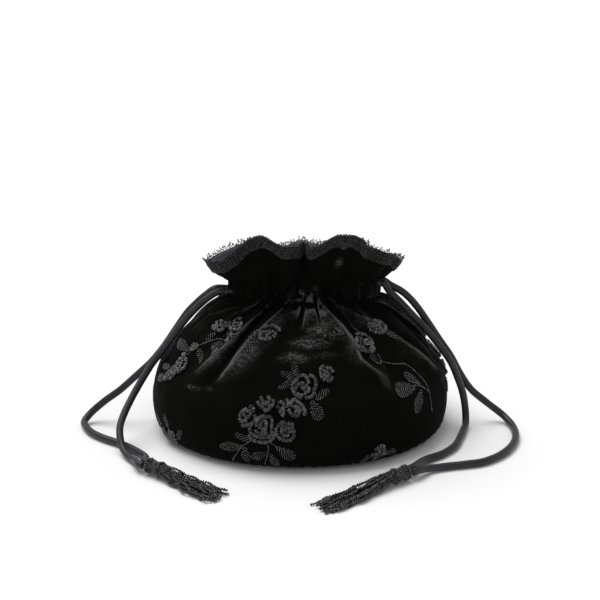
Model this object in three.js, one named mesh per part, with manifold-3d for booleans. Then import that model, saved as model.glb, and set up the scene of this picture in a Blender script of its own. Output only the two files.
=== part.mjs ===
// A drawstring evening pouch: a gathered velvet body on an oval base, a satin lining, a lace-edged
// frill, two cords that cross in the casing, and a bead tassel on each pair of cord ends.
// Millimetres, +Z up. The bag stands on z = 0 and its front looks along -Y.
import * as THREE from "three";
import { mergeVertices } from "three/addons/utils/BufferGeometryUtils.js";
import Module from "manifold-3d";

// Body and base, measured over the velvet.
const bodyWidth = 260;
const bodyDepth = 226;
const bodyHeight = 121;
const baseWidth = 232;
const baseDepth = 193;
const baseThickness = 2.5;

// Neck, measured over the gathers, and the casing that is sewn round it.
const neckWidth = 135;
const neckDepth = 54;
const neckShift = 3;
const casingHeight = 20;
const casingPuff = 1.5;
const gatherDepth = 5;

// Frill above the casing, and the lace along its edge.
const frillWidth = 168;
const frillDepth = 84;
const frillHeight = 45;
const frillDip = 4;
const rimRuffle = 1.6;
const laceBand = 10;
const laceScallop = 3;
const laceThickness = 0.8;
const laceHole = 3;

// Cloth, the gap kept between pieces that touch, and the wider one between gathered layers.
const velvetWall = 2.4;
const liningWall = 1;
const gap = 0.3;
const clothGap = 1.2;

// Cords, the room that their channel leaves, and the slits that they come out of.
const cordDiameter = 6.4;
const channelSlack = 1.6;
const channelLip = 4;
const channelEndRoom = 9.5;
const exitSpacing = 7.4;
const slitWidth = 21;
const slitHeight = 7.4;
const leftCordShare = 0.23;
const rightCordShare = 0.6;
const cordSides = 8;
const sectionTurn = 0.2;

// Tassels.
const tasselHeadDiameter = 15;
const tasselHeadLength = 17;
const strandDiameter = 5;
const strandSides = 4;
const strandStep = 4;

// Roses.
const roseRise = 3.6;
const roseDepth = 14;

// The body's shape: rise is a share of bodyHeight. The size is the body's, drawn towards the base
// by "base" and towards the neck by "neck".
const bodyRows = [
  { rise: 0, base: 1, neck: 0 },
  { rise: 0.03, base: 0.5, neck: 0 },
  { rise: 0.09, base: 0.15, neck: 0 },
  { rise: 0.25, base: 0, neck: 0 },
  { rise: 0.466, base: 0, neck: 0.074 },
  { rise: 0.567, base: 0, neck: 0.206 },
  { rise: 0.658, base: 0, neck: 0.31 },
  { rise: 0.8, base: 0, neck: 0.53 },
  { rise: 0.875, base: 0, neck: 0.67 },
  { rise: 0.967, base: 0, neck: 0.88 },
  { rise: 1, base: 0, neck: 1 },
];
const widestRise = 0.25;

// The gathers, in turns from the front towards the bag's left hand (+X). Each starts at "top" at the
// casing and at "foot" low on the body, and dies out at "reach", a share of the way down. "swell"
// is how much it grows before that, and "lean" moves its crest.
const gathers = [
  { top: -0.165, foot: -0.205, reach: 0.3, swell: 1.2, lean: 1 },
  { top: -0.13, foot: -0.175, reach: 0.7, swell: 4, lean: 1.1 },
  { top: -0.09, foot: -0.125, reach: 0.68, swell: 5.5, lean: 0.8 },
  { top: -0.017, foot: -0.055, reach: 0.22, swell: 1, lean: 1 },
  { top: 0.025, foot: 0.01, reach: 0.25, swell: 1, lean: 1 },
  { top: 0.066, foot: 0.08, reach: 0.74, swell: 5.5, lean: 1.6 },
  { top: 0.108, foot: 0.132, reach: 0.32, swell: 1.4, lean: 1 },
  { top: 0.152, foot: 0.185, reach: 0.8, swell: 3.4, lean: 1.1 },
  { top: 0.205, foot: 0.235, reach: 0.2, swell: 0.6, lean: 1 },
  { top: 0.268, foot: 0.27, reach: 0.6, swell: 1.8, lean: 1 },
  { top: 0.33, foot: 0.325, reach: 0.35, swell: 1.4, lean: 1 },
  { top: 0.39, foot: 0.375, reach: 0.7, swell: 2.4, lean: 0.9 },
  { top: 0.45, foot: 0.445, reach: 0.3, swell: 1.2, lean: 1 },
  { top: 0.512, foot: 0.5, reach: 0.66, swell: 2.6, lean: 1.1 },
  { top: 0.575, foot: 0.575, reach: 0.4, swell: 1.4, lean: 1 },
  { top: 0.64, foot: 0.635, reach: 0.72, swell: 2.2, lean: 1 },
  { top: 0.702, foot: 0.7, reach: 0.2, swell: 0.6, lean: 1 },
  { top: 0.768, foot: 0.745, reach: 0.6, swell: 1.6, lean: 1 },
];
const columnsPerGather = 4;

// The frill's edge round the mouth: "height" is a share of frillHeight above the casing, "flare" is
// 0 over the neck and 1 on the full oval of the frill.
const rimRows = [
  { turn: 0, height: 0.7, flare: 0.34 },
  { turn: 0.026, height: 0.74, flare: 0.62 },
  { turn: 0.073, height: 1, flare: 0.95 },
  { turn: 0.12, height: 0.9, flare: 1 },
  { turn: 0.142, height: 0.72, flare: 0.85 },
  { turn: 0.175, height: 0.58, flare: 0.98 },
  { turn: 0.21, height: 0.46, flare: 0.97 },
  { turn: 0.25, height: 0.24, flare: 0.95 },
  { turn: 0.285, height: 0.12, flare: 0.88 },
  { turn: 0.33, height: 0.2, flare: 0.8 },
  { turn: 0.4, height: 0.34, flare: 1 },
  { turn: 0.45, height: 0.24, flare: 0.78 },
  { turn: 0.5, height: 0.34, flare: 1 },
  { turn: 0.55, height: 0.26, flare: 0.78 },
  { turn: 0.6, height: 0.36, flare: 1 },
  { turn: 0.67, height: 0.26, flare: 0.85 },
  { turn: 0.75, height: 0.2, flare: 0.96 },
  { turn: 0.79, height: 0.33, flare: 0.98 },
  { turn: 0.83, height: 0.46, flare: 0.93 },
  { turn: 0.865, height: 0.76, flare: 0.9 },
  { turn: 0.91, height: 0.97, flare: 1 },
  { turn: 0.948, height: 0.77, flare: 0.8 },
  { turn: 0.98, height: 0.74, flare: 0.6 },
];

// Levels of the rings: 0 to 1 up the body, 1 to 2 up the casing, 2 to 3 up the frill.
const plainLevels = [0, 0.035, 0.1, 0.25, 0.44];
const gatheredLevels = [0.56, 0.67, 0.78, 0.89, 1];
const casingLevels = [1.5, 2];
const frillMiddle = 0.55;
const liningLevels = [0.25, 0.44, 0.67, 0.78, 0.89];

// The larger beaded roses: where they sit, in turns and as a share of bodyHeight, and their size.
const roses = [
  { name: "left_top", turn: -0.162, rise: 0.85, diameter: 15 },
  { name: "left_top_small", turn: -0.133, rise: 0.885, diameter: 12 },
  { name: "left_side", turn: -0.18, rise: 0.6, diameter: 16 },
  { name: "left_side_low", turn: -0.187, rise: 0.49, diameter: 13 },
  { name: "shoulder", turn: -0.065, rise: 0.865, diameter: 17 },
  { name: "centre", turn: 0.003, rise: 0.585, diameter: 22 },
  { name: "centre_right", turn: 0.034, rise: 0.665, diameter: 14 },
  { name: "middle", turn: -0.006, rise: 0.455, diameter: 14 },
  { name: "middle_left", turn: -0.043, rise: 0.49, diameter: 15 },
  { name: "low_left", turn: -0.062, rise: 0.4, diameter: 16 },
  { name: "low_centre", turn: -0.041, rise: 0.29, diameter: 22 },
  { name: "low_right", turn: -0.014, rise: 0.32, diameter: 16 },
  { name: "right_top", turn: 0.14, rise: 0.865, diameter: 15 },
  { name: "right_fold", turn: 0.109, rise: 0.8, diameter: 15 },
  { name: "back_top", turn: 0.47, rise: 0.66, diameter: 20 },
  { name: "back_middle", turn: 0.525, rise: 0.5, diameter: 16 },
  { name: "back_low", turn: 0.495, rise: 0.33, diameter: 22 },
];
const rosePetals = 5;

// The cords' free ends, laid as they lie: down the shoulder, off the body and over the table to
// the tassel. Each starts at its slit, and these points follow.
const cordRoutes = {
  left_back: [
    [-73.5, 3.4, 125.6], [-82, 3.2, 119.9], [-90.8, 3, 111.9], [-99.7, 3, 102], [-109.6, 2.5, 87.1],
    [-120.5, 1, 71.1], [-132.2, 0, 56.9], [-147.6, 1, 41.8], [-159.5, 2, 30.4], [-173.5, 3, 19.4],
    [-186, 1, 8.6], [-191.1, -6, 3.8], [-189, -17, 3.6], [-182.7, -30.3, 3.6], [-172.2, -42, 3.6],
    [-157, -54, 3.6], [-143, -68, 3.6], [-131.7, -87, 4.8],
  ],
  left_front: [
    [-73, -4.6, 124.5], [-81.7, -6, 119], [-90.1, -7, 111.5], [-98.9, -8, 102], [-109.1, -9, 88.6],
    [-120.7, -10, 72], [-129.2, -13, 62], [-134.6, -18, 54.6], [-140.2, -24, 46.7], [-147.4, -34, 35.7],
    [-152.7, -44, 26.7], [-155.7, -54, 18.8], [-154.8, -64, 11.8], [-151.8, -73, 6.2], [-146.2, -84, 4],
    [-141, -93, 4.8],
  ],
  right_back: [
    [79.4, 3.6, 128.2], [87.3, 3.2, 124], [94, 3, 118.6], [102, 3, 109.3], [112.3, 3, 94],
    [121.3, 3, 79.9], [133.2, 3, 61.9], [141.5, 3, 46], [151.6, 3, 30.8], [165.9, 3, 18.1],
    [179.7, 1, 7.4], [186.7, -10.9, 3.6], [188.8, -31, 3.6], [186.8, -48, 3.6], [179.6, -67, 3.6],
    [168.5, -82.7, 3.6], [154.5, -94.1, 3.6], [139.1, -99, 3.6], [124, -103, 3.6], [109, -109.5, 4.6],
  ],
  right_front: [
    [78, -4.2, 125.5], [86, -5, 117.5], [98.4, -6, 104], [109.5, -8, 92.4], [120.7, -9, 78.5],
    [132.4, -10, 61.5], [138.3, -10, 47.6], [143.3, -8.5, 32.6], [146.2, -7, 16], [146.4, -13, 5.4],
    [143.5, -26, 3.6], [140, -40, 3.6], [133.8, -60, 3.6], [122, -77, 3.6], [107.5, -90, 4.2],
  ],
};
const cordStep = 3;
const loopStep = 2;

// Where the tassels lie: the middle of the head's end and the tip of the strands.
const tasselPlaces = {
  left: { head: [-129, -109, 8], tip: [-66, -163, 8] },
  right: { head: [91, -123, 8], tip: [16, -186, 8] },
};
// The strands of a tassel: how far each fans out sideways, how high it lies and how long it is,
// as shares of the head's diameter and of the tassel's length.
const strandRows = [
  { side: -0.55, lift: 0.02, length: 0.94 },
  { side: -0.28, lift: 0.3, length: 0.98 },
  { side: -0.02, lift: 0.02, length: 1 },
  { side: 0.12, lift: 0.5, length: 0.97 },
  { side: 0.34, lift: 0.06, length: 0.99 },
  { side: 0.62, lift: 0.02, length: 0.9 },
];

const wasm = await Module();
wasm.setup();

const lerp = THREE.MathUtils.lerp;
const clamp = THREE.MathUtils.clamp;
const wrap = (turn) => turn - Math.floor(turn);

// A smooth curve through one column of a table, read at a place between its rows.
function smoothColumn(rows, along, column, place) {
  const last = rows.length - 1;
  let i = rows.findIndex((row) => row[along] > place) - 1;
  if (i < 0) i = place <= rows[0][along] ? 0 : last - 1;
  const slope = (k) => {
    const before = rows[Math.max(k - 1, 0)];
    const after = rows[Math.min(k + 1, last)];
    return (after[column] - before[column]) / (after[along] - before[along]);
  };
  const from = rows[i];
  const to = rows[i + 1];
  const span = to[along] - from[along];
  const t = (place - from[along]) / span;
  const ease = t * t * (3 - 2 * t);
  const pull = t * (1 - t) * span;
  const bend = pull * ((1 - t) * slope(i) - t * slope(i + 1));
  return lerp(from[column], to[column], ease) + bend;
}

// The rim's table once more before and after itself, so that the curve closes.
const rimTable = [-1, 0, 1].flatMap((lap) => rimRows.map((row) => ({ ...row, turn: row.turn + lap })));

// An oval ring: an ellipse swept by a circle, so that it can be inset without a kink.
// Returns a function from turns, spread evenly along the ring, to a point and a normal.
const ovalRoundness = 0.8;
const ovalSamples = 180;
function ovalRing(halfWidth, halfDepth) {
  const round = ovalRoundness * Math.min(halfWidth, halfDepth);
  const coreX = halfWidth - round;
  const coreY = halfDepth - round;
  const at = (angle) => {
    const nx = Math.sin(angle);
    const ny = -Math.cos(angle);
    const core = Math.hypot(coreX * nx, coreY * ny);
    return { x: (coreX ** 2 * nx) / core + round * nx, y: (coreY ** 2 * ny) / core + round * ny, nx, ny };
  };
  const lengths = [0];
  for (let i = 1; i <= ovalSamples; i++) {
    const a = at(((i - 1) / ovalSamples) * 2 * Math.PI);
    const b = at((i / ovalSamples) * 2 * Math.PI);
    lengths.push(lengths[i - 1] + Math.hypot(b.x - a.x, b.y - a.y));
  }
  return (turn) => {
    const target = wrap(turn) * lengths[ovalSamples];
    let i = 1;
    while (lengths[i] < target) i++;
    const share = (target - lengths[i - 1]) / (lengths[i] - lengths[i - 1]);
    return at(((i - 1 + share) / ovalSamples) * 2 * Math.PI);
  };
}

// Rings are asked for again and again, so each size is worked out once.
const ringStore = new Map();
function ringOf(halfWidth, halfDepth) {
  const key = halfWidth.toFixed(4) + " " + halfDepth.toFixed(4);
  if (!ringStore.has(key)) ringStore.set(key, ovalRing(halfWidth, halfDepth));
  return ringStore.get(key);
}

const neckHalfWidth = neckWidth / 2 - gatherDepth - casingPuff;
const neckHalfDepth = neckDepth / 2 - gatherDepth - casingPuff;
const casingTop = bodyHeight + casingHeight;

// The plain surface of the body, without gathers: a point and its level normal.
function bodyPoint(turn, rise) {
  const base = smoothColumn(bodyRows, "rise", "base", rise);
  const neck = smoothColumn(bodyRows, "rise", "neck", rise);
  const width = lerp(lerp(bodyWidth, baseWidth, base) / 2, neckHalfWidth, neck);
  const depth = lerp(lerp(bodyDepth, baseDepth, base) / 2, neckHalfDepth, neck);
  const p = ringOf(width, depth)(turn);
  const point = new THREE.Vector3(p.x + neckShift * neck, p.y, rise * bodyHeight);
  return { point, normal: new THREE.Vector3(p.nx, p.ny, 0) };
}

// The plain surface of the frill, at a share of the way from the casing to its edge.
function frillPoint(turn, share) {
  const height = smoothColumn(rimTable, "turn", "height", wrap(turn));
  const flare = smoothColumn(rimTable, "turn", "flare", wrap(turn));
  const low = ringOf(neckHalfWidth, neckHalfDepth)(turn);
  const high = ringOf(frillWidth / 2, frillDepth / 2)(turn);
  const out = flare * share ** lerp(0.75, 1.25, height);
  const dip = frillDip * (1 - height) ** 2 * 4 * share * Math.max(1 - share, 0);
  const z = casingTop + frillHeight * height * share ** lerp(2, 1, height) - dip;
  return new THREE.Vector3(lerp(low.x, high.x, out) + neckShift, lerp(low.y, high.y, out), z);
}

// The frill's own normal turns from half level at the casing to square with the cloth.
function frillNormal(turn, share) {
  const step = 0.02;
  const along = frillPoint(turn + step, share).sub(frillPoint(turn - step, share));
  const up = frillPoint(turn, share + 0.02).sub(frillPoint(turn, Math.max(share - 0.02, 0)));
  const square = along.cross(up).normalize();
  const level = ringOf(neckHalfWidth, neckHalfDepth)(turn);
  return new THREE.Vector3(level.nx, level.ny, 0).lerp(square, clamp(0.5 + share * 5, 0, 1)).normalize();
}

// How far down the body a level lies: 0 at the casing and above, 1 at the widest ring.
const drop = (level) => clamp((1 - level) / (1 - widestRise), 0, 1);

// Where the gather with this number starts at a level.
function gatherStart(number, level) {
  const lap = Math.floor(number / gathers.length);
  const row = gathers[number - lap * gathers.length];
  return lap + lerp(row.top, row.foot, 1 - (1 - drop(level)) ** 2);
}

// The turn of a mesh column, which follows the gathers down the body.
function columnTurn(column, level) {
  const number = Math.floor(column / columnsPerGather);
  const share = column / columnsPerGather - number;
  return lerp(gatherStart(number, level), gatherStart(number + 1, level), share);
}

// How far the cloth stands off the plain surface.
function relief(turn, level) {
  let t = wrap(turn);
  if (t >= gatherStart(gathers.length, level)) t -= 1;
  let number = 0;
  while (gatherStart(number + 1, level) <= t) number++;
  const start = gatherStart(number, level);
  const row = gathers[number % gathers.length];
  const phase = clamp((t - start) / (gatherStart(number + 1, level) - start), 0, 1);
  const sunk = drop(level) / row.reach;
  const wave = Math.sin(Math.PI * phase ** (level > 1 ? 1 : row.lean));
  const crest = wave ** (0.8 + Math.min(sunk, 1) + 0.5 * Math.max(level - 2, 0));
  if (level <= 1) return crest * gatherDepth * Math.max(1 - sunk, 0) * (1 + row.swell * sunk);
  if (level <= 2) return crest * gatherDepth + casingPuff * 4 * (level - 1) * (2 - level);
  return crest * lerp(gatherDepth, rimRuffle, Math.min(level - 2, 1));
}

// A point of the cloth: inset is how far it lies inside the velvet's outer face.
function clothPoint(turn, level, inset, smooth = false) {
  const raised = smooth ? 0 : relief(turn, level);
  if (level >= 2) {
    const share = level - 2;
    return frillPoint(turn, share).addScaledVector(frillNormal(turn, share), raised - inset);
  }
  const { point, normal } = bodyPoint(turn, Math.min(level, 1));
  point.z += casingHeight * Math.max(level - 1, 0);
  return point.addScaledVector(normal, raised - inset);
}

const columnCount = gathers.length * columnsPerGather;

function clothRing(level, inset, { every = 1, smooth = false } = {}) {
  const ring = [];
  for (let column = 0; column < columnCount; column += every)
    ring.push(clothPoint(columnTurn(column, level), level, inset, smooth));
  return ring;
}

// Triangles between two rings, where either may have twice the points of the other.
function stitch(faces, a, b) {
  const count = Math.min(a.length, b.length);
  for (let i = 0; i < count; i++) {
    const next = (i + 1) % count;
    if (a.length === b.length) {
      faces.push([a[i], a[next], b[next]], [a[i], b[next], b[i]]);
    } else if (a.length < b.length) {
      const middle = b[2 * i + 1];
      faces.push([a[i], middle, b[2 * i]], [a[i], a[next], middle], [a[next], b[2 * next], middle]);
    } else {
      const middle = a[2 * i + 1];
      faces.push([a[2 * i], middle, b[i]], [middle, b[next], b[i]], [middle, a[2 * next], b[next]]);
    }
  }
}

// A closed body from a row of rings: joined end to start, or capped at both ends.
function ringBody(rings, capped = false) {
  const faces = [];
  for (let i = 1; i < rings.length; i++) stitch(faces, rings[i - 1], rings[i]);
  const first = rings[0];
  const last = rings.at(-1);
  if (capped) {
    fan(faces, first, true);
    fan(faces, last, false);
  } else {
    stitch(faces, last, first);
  }
  const positions = faces.flat().flatMap((p) => [p.x, p.y, p.z]);
  const geometry = new THREE.BufferGeometry();
  geometry.setAttribute("position", new THREE.Float32BufferAttribute(positions, 3));
  return mergeVertices(geometry, 1e-4);
}

// A flat cap over a ring, as triangles round its middle.
function fan(faces, ring, down) {
  const middle = new THREE.Vector3();
  for (const p of ring) middle.addScaledVector(p, 1 / ring.length);
  for (let i = 0; i < ring.length; i++) {
    const next = ring[(i + 1) % ring.length];
    faces.push(down ? [next, ring[i], middle] : [ring[i], next, middle]);
  }
}

function solidOf(geometry) {
  const bare = new THREE.BufferGeometry();
  const plain = geometry.index ? geometry.toNonIndexed() : geometry;
  bare.setAttribute("position", plain.getAttribute("position"));
  const merged = mergeVertices(bare, 1e-4);
  return new wasm.Manifold(
    new wasm.Mesh({
      numProp: 3,
      vertProperties: merged.getAttribute("position").array,
      triVerts: new Uint32Array(merged.index.array),
    }),
  );
}

function geometryOf(solid) {
  const mesh = solid.getMesh();
  const geometry = new THREE.BufferGeometry();
  geometry.setAttribute("position", new THREE.Float32BufferAttribute(mesh.vertProperties, 3));
  geometry.setIndex(new THREE.Uint32BufferAttribute(mesh.triVerts, 1));
  return geometry;
}

function boxSolid(x0, x1, y0, y1, z0, z1) {
  const box = new THREE.BoxGeometry(x1 - x0, y1 - y0, z1 - z0);
  return solidOf(box.translate((x0 + x1) / 2, (y0 + y1) / 2, (z0 + z1) / 2));
}

// Rings of the cloth at one inset, from the base to the casing's top.
function bodyRings(inset) {
  return [
    ...plainLevels.map((level) => clothRing(level, inset, { every: 2 })),
    ...[...gatheredLevels, ...casingLevels].map((level) => clothRing(level, inset)),
  ];
}

// The frill's rings: its middle, the foot of the lace and its edge.
function frillRings(inset) {
  return [rimRing(inset, laceBand, frillMiddle), rimRing(inset, laceBand), rimRing(inset, 0)];
}

const outerRings = (inset) => [...bodyRings(inset), ...frillRings(inset)];

// How far up the frill a place lies that is so far below its edge.
function levelBelowRim(turn, distance) {
  const edge = frillPoint(turn, 1);
  const before = frillPoint(turn, 0.75);
  return 3 - (0.25 * distance) / edge.distanceTo(before);
}

// A ring that far below the edge, or at a share of the way up to there from the casing.
function rimRing(inset, distance, share = 1) {
  const ring = [];
  for (let column = 0; column < columnCount; column++) {
    const turn = columnTurn(column, 3);
    ring.push(clothPoint(turn, lerp(2, levelBelowRim(turn, distance), share), inset));
  }
  return ring;
}

const leftCordHeight = bodyHeight + casingHeight * leftCordShare;
const rightCordHeight = bodyHeight + casingHeight * rightCordShare;

// The slit that a pair of cord ends comes out of, on one side of the casing.
function slit(side, height) {
  const end = (side * neckWidth) / 2 + neckShift;
  const reach = gatherDepth + casingPuff + velvetWall + cordDiameter / 2;
  const x = [end - side * reach, end + side * reach].sort((a, b) => a - b);
  return boxSolid(x[0], x[1], -slitWidth / 2, slitWidth / 2, height - slitHeight / 2, height + slitHeight / 2);
}

function velvetShell() {
  const rings = [...outerRings(0), ...outerRings(velvetWall).reverse()];
  const cloth = solidOf(ringBody(rings));
  return geometryOf(cloth.subtract(slit(-1, leftCordHeight)).subtract(slit(1, rightCordHeight)));
}

function baseDisc() {
  return ringBody([footRing(velvetWall + gap, 0), footRing(velvetWall + gap, baseThickness)], true);
}

// The ring of the base seam, set at some height.
function footRing(inset, z) {
  const ring = clothRing(0, inset, { every: 2 });
  for (const p of ring) p.z = z;
  return ring;
}

// The lining stands off the velvet from the casing's foot to a lip above it, and follows it elsewhere.
const channelInset = velvetWall + cordDiameter + 2 * gap + channelSlack;

function liningChannelRing(level, inset) {
  const ring = ringOf(neckHalfWidth - channelEndRoom - inset, neckHalfDepth - inset);
  const points = [];
  for (let column = 0; column < columnCount; column += 2) {
    const p = ring(columnTurn(column, level));
    points.push(new THREE.Vector3(p.x + neckShift, p.y, bodyHeight + casingHeight * (level - 1)));
  }
  return points;
}

function liningFace(thickness) {
  const inset = velvetWall + gap + thickness;
  const frillInset = velvetWall + clothGap + thickness;
  return [
    footRing(inset, baseThickness + gap + thickness),
    ...liningLevels.map((level) => clothRing(level, inset, { every: 2, smooth: true })),
    liningChannelRing(1, channelInset + thickness),
    liningChannelRing(2 + channelLip / casingHeight, channelInset + thickness),
    ...frillRings(frillInset),
  ];
}

function lining() {
  return ringBody([...liningFace(0), ...liningFace(liningWall).reverse()], true);
}

// The lace's upper edge: two points to a column, low and high by turns, for the scallops.
function scallopRing(inset) {
  const low = rimRing(inset, -laceScallop * 0.2);
  const high = rimRing(inset, -laceScallop);
  return low.flatMap((p, i) => [p, high[i].clone().lerp(high[(i + 1) % columnCount], 0.5)]);
}

// The lace: a band on the outside of the frill with scallops above its edge, and a row of eyelets.
function laceTrim() {
  const face = (inset) => [rimRing(inset, laceBand), rimRing(inset, 0), scallopRing(inset)];
  const outside = -(clothGap + laceThickness);
  let lace = solidOf(ringBody([...face(outside), ...face(-clothGap).reverse()]));
  for (let column = 1; column < columnCount; column += 4) lace = lace.subtract(eyelet(column));
  return geometryOf(lace);
}

function eyelet(column) {
  const turn = columnTurn(column, 3);
  const level = levelBelowRim(turn, laceBand / 2);
  const pin = new THREE.CylinderGeometry(laceHole / 2, laceHole / 2, 2 * velvetWall, 4);
  const normal = frillNormal(turn, level - 2);
  pin.applyQuaternion(new THREE.Quaternion().setFromUnitVectors(new THREE.Vector3(0, 1, 0), normal));
  const place = clothPoint(turn, level, -(clothGap + laceThickness / 2));
  return solidOf(pin.translate(place.x, place.y, place.z));
}

// A round tube along smooth points, with a step every so many diameters.
function tube(points, step, diameter = cordDiameter, sides = cordSides) {
  const section = new THREE.Shape();
  for (let i = 0; i < sides; i++) {
    const angle = ((i + sectionTurn) / sides) * 2 * Math.PI;
    const corner = [(Math.cos(angle) * diameter) / 2, (Math.sin(angle) * diameter) / 2];
    if (i === 0) section.moveTo(...corner);
    else section.lineTo(...corner);
  }
  section.closePath();
  const path = new THREE.CatmullRomCurve3(points, false, "centripetal");
  const steps = Math.round(path.getLength() / (step * diameter));
  return new THREE.ExtrudeGeometry(section, { extrudePath: path, steps, bevelEnabled: false });
}

// A cord end passes straight out through its slit, which is where the free stretch starts.
function exitPoint(side, row, height, past) {
  const x = (side * neckWidth) / 2 + neckShift + side * past;
  return new THREE.Vector3(x, (row * exitSpacing) / 2, height);
}

// The hidden stretch of a cord: in at its slit, once round the channel and out again.
function drawLoop(side, height) {
  const inset = velvetWall + gap + cordDiameter / 2 + channelSlack / 2;
  const ring = ringOf(neckHalfWidth - inset, neckHalfDepth - inset);
  const out = [0, -cordDiameter / 3, -cordDiameter];
  const points = out.map((past) => exitPoint(side, side, height, past));
  const from = side < 0 ? 0.75 : 0.25;
  for (let i = 0; i <= 16; i++) {
    const p = ring(from + lerp(0.115, 0.885, i / 16));
    points.push(new THREE.Vector3(p.x + neckShift, p.y, height));
  }
  points.push(...out.reverse().map((past) => exitPoint(side, -side, height, past)));
  return tube(points, loopStep);
}

function freeCord(name) {
  const side = name.startsWith("left") ? -1 : 1;
  const row = name.endsWith("back") ? 1 : -1;
  const height = side < 0 ? leftCordHeight : rightCordHeight;
  const starts = [gap, gap + cordDiameter / 3].map((past) => exitPoint(side, row, height, past));
  const route = cordRoutes[name].map((p) => new THREE.Vector3(...p));
  const { start, along, across } = tasselAxes(side < 0 ? tasselPlaces.left : tasselPlaces.right);
  const place = start.addScaledVector(across, (row * exitSpacing) / 2);
  const ends = [cordDiameter, gap].map((short) => place.clone().addScaledVector(along, -short));
  return tube([...starts, ...route, ...ends], cordStep);
}

// Where a tassel starts, which way it points, how long it is and its level sideways direction.
function tasselAxes({ head, tip }) {
  const start = new THREE.Vector3(...head);
  const along = new THREE.Vector3(...tip).sub(start);
  const reach = along.length();
  along.normalize();
  return { start, along, reach, across: new THREE.Vector3(0, 0, 1).cross(along).normalize() };
}

// A tassel: strands that fan out from a bead-wrapped head, fused into one body.
function tassel(place) {
  const axes = tasselAxes(place);
  let solid = solidOf(tasselHead(axes));
  for (const row of strandRows) solid = solid.add(solidOf(strand(row, axes)));
  return geometryOf(solid);
}

function tasselHead({ start, along }) {
  const r = tasselHeadDiameter / 2;
  const profile = [
    [0, 0], [r * 0.9, 0], [r, tasselHeadLength * 0.35],
    [r * 0.75, tasselHeadLength * 0.7], [r * 0.85, tasselHeadLength], [0, tasselHeadLength],
  ].map(([x, y]) => new THREE.Vector2(x, y));
  const geometry = new THREE.LatheGeometry(profile, 8);
  geometry.applyQuaternion(new THREE.Quaternion().setFromUnitVectors(new THREE.Vector3(0, 1, 0), along));
  return geometry.translate(start.x, start.y, start.z);
}

function strand(row, { start, along, across, reach }) {
  const lowest = strandDiameter / 2 + gap;
  const points = [0.12, 0.3, 0.6, 1].map((share) => {
    const fanned = clamp((share - 0.1) * 2.2, 0, 1);
    const p = start.clone().addScaledVector(along, reach * row.length * share);
    p.addScaledVector(across, tasselHeadDiameter * row.side * lerp(0.5, 1, fanned));
    p.z = lerp(start.z, lowest + tasselHeadDiameter * row.lift * (1 - share), Math.min(share * 2, 1));
    return p;
  });
  return tube(points, strandStep, strandDiameter, strandSides);
}

// A rose is a low petalled mound, built deep and then cut to sit on the velvet.
function rose({ turn, rise, diameter }) {
  const place = clothPoint(turn, rise, 0);
  const right = clothPoint(turn + 0.004, rise, 0, true).sub(clothPoint(turn - 0.004, rise, 0, true));
  const up = clothPoint(turn, rise + 0.03, 0, true).sub(clothPoint(turn, rise - 0.03, 0, true));
  const out = right.clone().cross(up).normalize();
  right.normalize();
  const level = out.clone().cross(right);
  const ring = (share, height, wave) => {
    const points = [];
    for (let i = 0; i < rosePetals * 2; i++) {
      const angle = (i / (rosePetals * 2)) * 2 * Math.PI;
      const radius = (diameter / 2) * share * (i % 2 ? 1 - wave : 1);
      const p = place.clone().addScaledVector(right, radius * Math.cos(angle));
      points.push(p.addScaledVector(level, radius * Math.sin(angle)).addScaledVector(out, height));
    }
    return points;
  };
  const rings = [
    ring(0.92, -roseDepth, 0.14),
    ring(1, roseRise * 0.35, 0.14),
    ring(0.6, roseRise, 0.1),
  ];
  return solidOf(ringBody(rings, true)).subtract(bodyCore);
}

// The whole inside of the body, grown by the gap: what is sewn on the velvet is cut by it.
const bodyCore = solidOf(ringBody(bodyRings(-gap), true));

const group = new THREE.Group();

function addNode(name, geometry, { color, roughness, metalness = 0 }) {
  geometry.computeVertexNormals();
  const material = new THREE.MeshStandardMaterial({ color, roughness, metalness });
  const mesh = new THREE.Mesh(geometry, material);
  mesh.name = name;
  group.add(mesh);
}

const velvet = { color: 0x0a0a08, roughness: 0.95 };
const satin = { color: 0x4a464e, roughness: 0.45 };
const lace = { color: 0x2c2c2e, roughness: 0.8 };
const cord = { color: 0x2d2b2e, roughness: 0.5 };
const beads = { color: 0x55565a, roughness: 0.25, metalness: 0.7 };

addNode("velvet_shell", velvetShell(), velvet);
addNode("base_disc", baseDisc(), velvet);
addNode("lining", lining(), satin);
addNode("lace_trim", laceTrim(), lace);
addNode("draw_loop_left", drawLoop(-1, leftCordHeight), cord);
addNode("draw_loop_right", drawLoop(1, rightCordHeight), cord);
for (const name of Object.keys(cordRoutes)) addNode(`cord_${name}`, freeCord(name), cord);
addNode("tassel_left", tassel(tasselPlaces.left), beads);
addNode("tassel_right", tassel(tasselPlaces.right), beads);
for (const row of roses) addNode(`rose_${row.name}`, geometryOf(rose(row)), beads);

export default group;
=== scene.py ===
import math
import random

import bpy
import numpy as np
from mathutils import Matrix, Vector, noise


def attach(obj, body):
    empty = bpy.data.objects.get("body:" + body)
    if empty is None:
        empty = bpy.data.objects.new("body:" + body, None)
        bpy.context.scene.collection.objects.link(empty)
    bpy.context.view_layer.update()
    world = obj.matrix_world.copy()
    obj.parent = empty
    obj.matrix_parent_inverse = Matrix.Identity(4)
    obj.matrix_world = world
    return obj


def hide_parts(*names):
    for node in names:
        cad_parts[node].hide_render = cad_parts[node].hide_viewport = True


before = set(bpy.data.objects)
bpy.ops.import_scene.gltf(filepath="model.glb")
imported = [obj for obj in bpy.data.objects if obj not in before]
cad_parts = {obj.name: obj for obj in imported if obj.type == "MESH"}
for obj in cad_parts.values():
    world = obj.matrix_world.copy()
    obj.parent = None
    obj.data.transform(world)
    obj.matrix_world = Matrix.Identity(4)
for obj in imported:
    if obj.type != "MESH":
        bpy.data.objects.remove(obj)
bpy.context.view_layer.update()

print("stage: frame loaded")

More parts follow.
